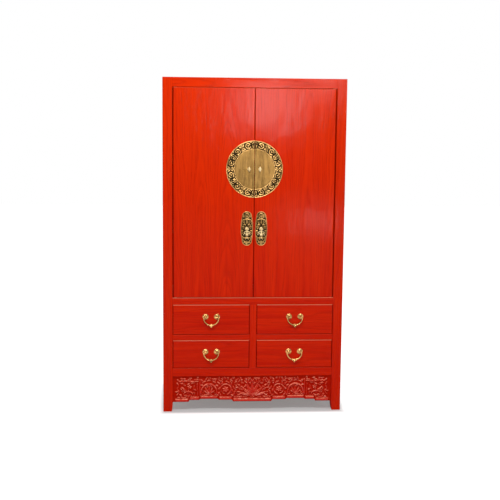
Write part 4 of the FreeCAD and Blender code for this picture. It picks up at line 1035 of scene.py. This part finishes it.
def pull_staple(side):
    lowest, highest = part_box(side + "_pull_staple")
    x = (lowest.x + highest.x) / 2
    z = (lowest.z + highest.z) / 2
    half = (highest.x - lowest.x) / 2
    y = frame_place("drop_" + side + "_swing").y
    plate_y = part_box(side + "_pull_plate")[1].y - plate_thickness
    arm = half - staple_rod
    foot_z = z + staple_foot_level
    leg = [(plate_y + 0.5 * mm, foot_z), (plate_y - 4 * mm, foot_z + 0.2 * mm),
           (y + 2.6 * mm, foot_z + 1.2 * mm), (y + 0.6 * mm, z - 4 * mm), (y, z - 2 * mm)]
    line = [(x + arm, away, up) for away, up in leg]
    line += [(x + arm * math.cos(turn), y, z + arm * math.sin(turn)) for turn in np.linspace(0, math.pi, 25)]
    line += [(x - arm, away, up) for away, up in reversed(leg)]
    body = bmesh.new()
    swept(body, line, [staple_rod] * len(line), 18)
    pin_length = 2 * (half - pin_inset)
    turned(body, (x - pin_length / 2, y, z), (1, 0, 0),
           [(0, pin_end_radius), (pin_chamfer, pin_radius), (pin_length - pin_chamfer, pin_radius),
            (pin_length, pin_end_radius)])
    collar_and_shank(body, x, z, plate_y, highest.y, staple_collar, staple_shank_radius)
    return joined(side + "_pull_staple", body)


add_to_doors("_staple", pull_staple, bright_brass, "door_", "bright_brass", "_pull_staple")


# Door drops
# A cast brass drop hangs from each staple's pin by a bored eye: two curled wings, then a ribbed bulb,
# and a small ball at the tip. It swings out to pull the door open.

drop_bore = 2.15 * mm
drop_eye_radius = 5 * mm
drop_eye_half_width = 3.5 * mm
drop_stem = [(3.2, 2.6), (5, 3.4), (8, 3.6), (12, 3.0), (20, 3.2), (22.5, 4.6), (24, 4.6), (25, 3.4)]
drop_bulb = [(24, 3.2), (25, 5.2), (27, 7.4), (30, 8.8), (33, 9.0), (36, 8.2), (39, 6.2), (41.5, 3.8),
             (43, 2.2), (44, 1.8), (48.2, 1.8)]
drop_ball = [(48.0, 1.6), (49, 2.7), (50.5, 3.4), (52, 3.5), (53.5, 3.0), (54.8, 2.0), (55.5, 0.0)]
wing_root_radius = 2.5 * mm
wing_tip_radius = 1.6 * mm


def door_drop(side):
    place = frame_place("drop_" + side + "_swing")
    lowest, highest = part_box(side + "_drop_pull")
    x, y, z = place
    body = bmesh.new()
    section = oval_section(drop_eye_half_width, (drop_bore + drop_eye_radius) / 2,
                           (drop_eye_radius - drop_bore) / 2, 14)
    bored(body, place, [section] * 40)
    turned(body, place, (0, 0, -1), in_mm(drop_stem))
    turned(body, place, (0, 0, -1), in_mm(drop_bulb), 48, 12, 0.1)
    turned(body, place, (0, 0, -1), in_mm(drop_ball))
    reach = (highest.x - lowest.x) / 2 / mm
    wing = flowing([(0, -15.5), (6, -15.2), (11, -15.8), (15, -18), (reach - 2.4, -22),
                    (reach - 3.4, -25.5), (11, -26.5), (8.6, -24), (10, -21.6)], 0.8)
    for way in (-1, 1):
        swept(body, [(x + way * aside * mm, y, z + up * mm) for aside, up in wing],
              np.linspace(wing_root_radius, wing_tip_radius, len(wing)), 14)
    return joined(side + "_drop", body)


add_to_doors("_drop_cast", door_drop, bright_brass, "drop_", "bright_brass", "_drop_pull")


# Tacks
# Small domed brass tacks that hold the plates to the doors.

finish_nodes(bright_brass, "left_plate_tacks", "right_plate_tacks")


# Drawers
# The fronts are level boards with rounded edges, lacquered like the case. The sides are dovetailed
# into them half blind, and the boxes behind are left bare.

finish_nodes(bare_batten, "upper_left_drawer_box", "upper_right_drawer_box",
             "lower_left_drawer_box", "lower_right_drawer_box")
for index, drawer in enumerate(("upper_left", "upper_right", "lower_left", "lower_right")):
    lacquer = red_lacquer(drawer + "_lacquer", "X", "Z", 0.025 + 0.37 * index, highlight_strength=edge_highlight)
    finish_nodes(lacquer, drawer + "_drawer_front")


# Rosettes and pull posts
# Two posts go through each drawer front, each in a scalloped brass rosette. The post's ball is bored
# across for the end of the bail.

post_bore = 2.46 * mm
post_radius = 3.6 * mm
neck_radius = 3.0 * mm
neck_length = 1.4 * mm
ball_radius = 6 * mm
rosette_radius = 17.5 * mm
rosette = [(0, 17.5), (0.7, 17.5), (1.2, 17.0), (1.5, 15.6), (2.2, 14.6), (3.4, 13.4), (4.3, 11.6),
           (4.9, 9.6), (5.0, 8.2), (4.4, 7.4), (4.6, 6.4), (5.3, 5.4), (5.5, 4.4), (5.5, 3.6)]

brass_orange = (0.92, 0.52, 0.18, 1)

pull_brass = brass("pull_brass", brass_orange, brass_aged, 0.5, 0.85, 0.15)


def add_to_drawers(ending, make, body, node):
    for row in ("lower", "upper"):
        for side in ("left", "right"):
            drawer = row + "_" + side
            add_piece(drawer + ending, make(row, side), pull_brass, body + drawer, "bright_brass",
                      drawer + node)


def pull_mounts(row, side):
    lowest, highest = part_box(row + "_" + side + "_pull_mounts")
    front_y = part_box(row + "_" + side + "_drawer_front")[0].y
    place = frame_place("bail_" + row + "_" + side + "_swing")
    half_span = (highest.x - lowest.x) / 2 - rosette_radius
    cut_angle = math.asin(post_bore / ball_radius)
    quarter_cut = math.sqrt(ball_radius ** 2 - post_bore ** 2) / 2
    section = [(ball_radius * math.cos(turn), ball_radius * math.sin(turn))
               for turn in np.linspace(cut_angle, math.pi - cut_angle, 18)]
    section += [(-quarter_cut, post_bore), (quarter_cut, post_bore)]
    start = post_bore + 0.6 * mm
    neck = [(start, neck_radius), (start + neck_length, post_radius), (highest.y - place.y, post_radius)]
    body = bmesh.new()
    for way in (-1, 1):
        x = (lowest.x + highest.x) / 2 + way * half_span
        turned(body, (x, front_y, place.z), (0, -1, 0), in_mm(rosette), 96, 16, 0.05)
        bored(body, (x, place.y, place.z), [section] * 32)
        turned(body, (x, place.y, place.z), (0, 1, 0), neck)
    return joined(row + "_" + side + "_pull_mounts", body)


add_to_drawers("_rosettes", pull_mounts, "drawer_", "_pull_mounts")


# Bails
# A brass rod bent to a half circle hangs from the two posts by its stubs. It thickens to a ribbed bead
# at the bottom, with a bud under it.

bail_drop = 47 * mm
bail_rod = 2.8 * mm
bail_swelling = 1.8 * mm
knuckle_radius = 3.8 * mm
stub_radius = 2.4 * mm
stub_length = 15.2 * mm
stub_chamfer = 0.6 * mm
bail_bead = [(-13.5, 4.6), (-12.6, 5.6), (-11.4, 5.6), (-10.8, 4.8), (-10.0, 5.6), (-8, 7.4), (-5, 8.3),
             (-2, 8.5), (0, 8.5), (2, 8.5), (5, 8.3), (8, 7.4), (10.0, 5.6), (10.8, 4.8), (11.4, 5.6),
             (12.6, 5.6), (13.5, 4.6)]
bail_bud = [(6.5, 3.0), (8, 3.4), (9.5, 5.2), (11, 5.5), (12.6, 4.6), (13.8, 2.6), (14.5, 0.0)]


def bail(row, side):
    lowest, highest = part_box(row + "_" + side + "_bail")
    _, y, z = frame_place("bail_" + row + "_" + side + "_swing")
    x = (lowest.x + highest.x) / 2
    arm = (highest.x - lowest.x) / 2 - knuckle_radius
    arc_z = z + arm - bail_drop
    line = [(x - arm, y, z)]
    line += [(x + arm * math.cos(turn), y, arc_z + arm * math.sin(turn))
             for turn in np.linspace(math.pi, 2 * math.pi, 61)]
    line += [(x + arm, y, z)]
    thick = np.concatenate([[0], 1 - np.abs(np.linspace(-1, 1, 61)), [0]])
    knuckle = [(knuckle_radius * (1 - math.cos(turn)), knuckle_radius * math.sin(turn))
               for turn in np.linspace(0, math.pi, 15)]
    stub = [(0, stub_radius), (stub_length - stub_chamfer, stub_radius), (stub_length, stub_radius * 0.7)]
    body = bmesh.new()
    swept(body, line, bail_rod + bail_swelling * thick, 20)
    for way in (-1, 1):
        turned(body, (x + way * (arm + knuckle_radius), y, z), (-way, 0, 0), knuckle, 28)
        turned(body, (x + way * arm, y, z), (-way, 0, 0), stub, 24)
    turned(body, (x, y, z - bail_drop), (1, 0, 0), in_mm(bail_bead), 60, 12, 0.09)
    turned(body, (x, y, z - bail_drop), (0, 0, -1), in_mm(bail_bud), 28)
    return joined(row + "_" + side + "_bail", body)


add_to_drawers("_bail_rod", bail, "bail_", "_bail")


# Studio
# A pale floor and a white room, with soft light all round. One lamp hangs high in front, one
# behind, and three stand far in front for the sheen on the doors. Outside the cabinet's footprint the
# floor glows white, painted light that hides any shadow there; inside it the glow is faint, so the
# shadow shows only under the cabinet.

floor_half = 14.0
floor_pale = (0.55, 0.55, 0.55, 1)
floor_lift = 0.19
open_floor_lift = 0.9
open_floor_start = -0.01
open_floor_end = 0.04


def studio_floor():
    body = bmesh.new()
    body.faces.new([body.verts.new((x * floor_half, y * floor_half, 0))
                    for x, y in ((-1, -1), (1, -1), (1, 1), (-1, 1))])
    mesh = finished_mesh("studio_floor", body)
    material, tree, surface = new_material("studio_floor")
    seen = shader_node(tree, "LightPath", {})
    any_ray = number(tree, "MAXIMUM", seen["Is Camera Ray"], seen["Is Glossy Ray"])
    any_ray = number(tree, "MAXIMUM", any_ray, seen["Is Transmission Ray"])
    axes = separated(tree, coordinate(tree))
    beside = number(tree, "SUBTRACT", number(tree, "ABSOLUTE", axes["X"]), frame_bounds[1][0])
    ahead = number(tree, "SUBTRACT", number(tree, "ABSOLUTE", axes["Y"]), frame_bounds[1][1])
    away = number(tree, "MAXIMUM", beside, ahead)
    # painted light: white glow outside the cabinet's footprint, faint glow inside it
    lift = ranged(tree, away, open_floor_start, open_floor_end, floor_lift, open_floor_lift)
    plug(tree, surface, {"Base Color": floor_pale, "Roughness": 0.9, "Specular IOR Level": 0.0,
                         "Emission Color": (1, 1, 1, 1),
                         "Emission Strength": times(tree, any_ray, lift)})
    mesh.materials.append(material)
    floor = placed("studio_floor", mesh)


def soft_light(name, place, aim, width, height, power):
    lamp = bpy.data.lights.new(name, "AREA")
    lamp.shape = "RECTANGLE"
    lamp.size = width
    lamp.size_y = height
    lamp.energy = power
    holder = placed(name, lamp)
    holder.location = place
    holder.rotation_euler = (Vector(aim) - Vector(place)).to_track_quat("-Z", "Y").to_euler()


studio_floor()
soft_light("key_light", (-0.4, -2.4, 3.3), (0, -0.27, 1.45), 0.6, 0.35, 51)
soft_light("back_light", (-0.5, 3.4, 3.4), (0, 0.29, 1.1), 1.6, 0.8, 34)
soft_light("sheen_light", (0.6, -6.9, 1.98), (0.05, -0.3, 1.7), 0.7, 0.62, 66)
soft_light("corner_sheen_light", (1.33, -6.9, 2.22), (0.38, -0.3, 1.88), 0.4, 0.22, 19)
soft_light("low_sheen_light", (1.3, -6.9, 0.47), (0.36, -0.3, 1.1), 0.45, 0.2, 11)


def either(tree, share, first, second):
    return shader_node(tree, "Mix", {0: share, 2: first, 3: second}, data_type="FLOAT")[0]


world = bpy.data.worlds.new("studio_room")
bpy.context.scene.world = world
world.use_nodes = True
room = world.node_tree
room.nodes.clear()
seen = shader_node(room, "LightPath", {})
direction = separated(room, coordinate(room, "Generated"))
in_front = ranged(room, direction["Z"], 0.0, 0.7, 0.16, 0.75)
mirrored = ranged(room, direction["Y"], -0.3, 0.3, in_front, 1.0)
all_round = ranged(room, direction["Z"], -0.1, 0.9, 0.28, 0.5)
reflected = number(room, "MAXIMUM", seen["Is Glossy Ray"], seen["Is Transmission Ray"])
brightness = either(room, seen["Is Camera Ray"], either(room, reflected, all_round, mirrored), 1.0)
backdrop = shader_node(room, "Background", {"Color": (1, 1, 1, 1), "Strength": brightness})[0]
shader_node(room, "OutputWorld", {"Surface": backdrop})


# Camera
# The view of the photograph, solved from the four corners of the cabinet's front.

camera = bpy.data.cameras.new("camera")
camera.lens = 64.8
camera.sensor_width = 36
viewpoint = placed("camera", camera)
viewpoint.location = (-0.3536, -5.3774, 1.6360)
viewpoint.rotation_euler = [math.radians(angle) for angle in (82.4007, -0.5382, -3.6442)]
bpy.context.scene.camera = viewpoint
bpy.context.scene.view_settings.view_transform = "Standard"
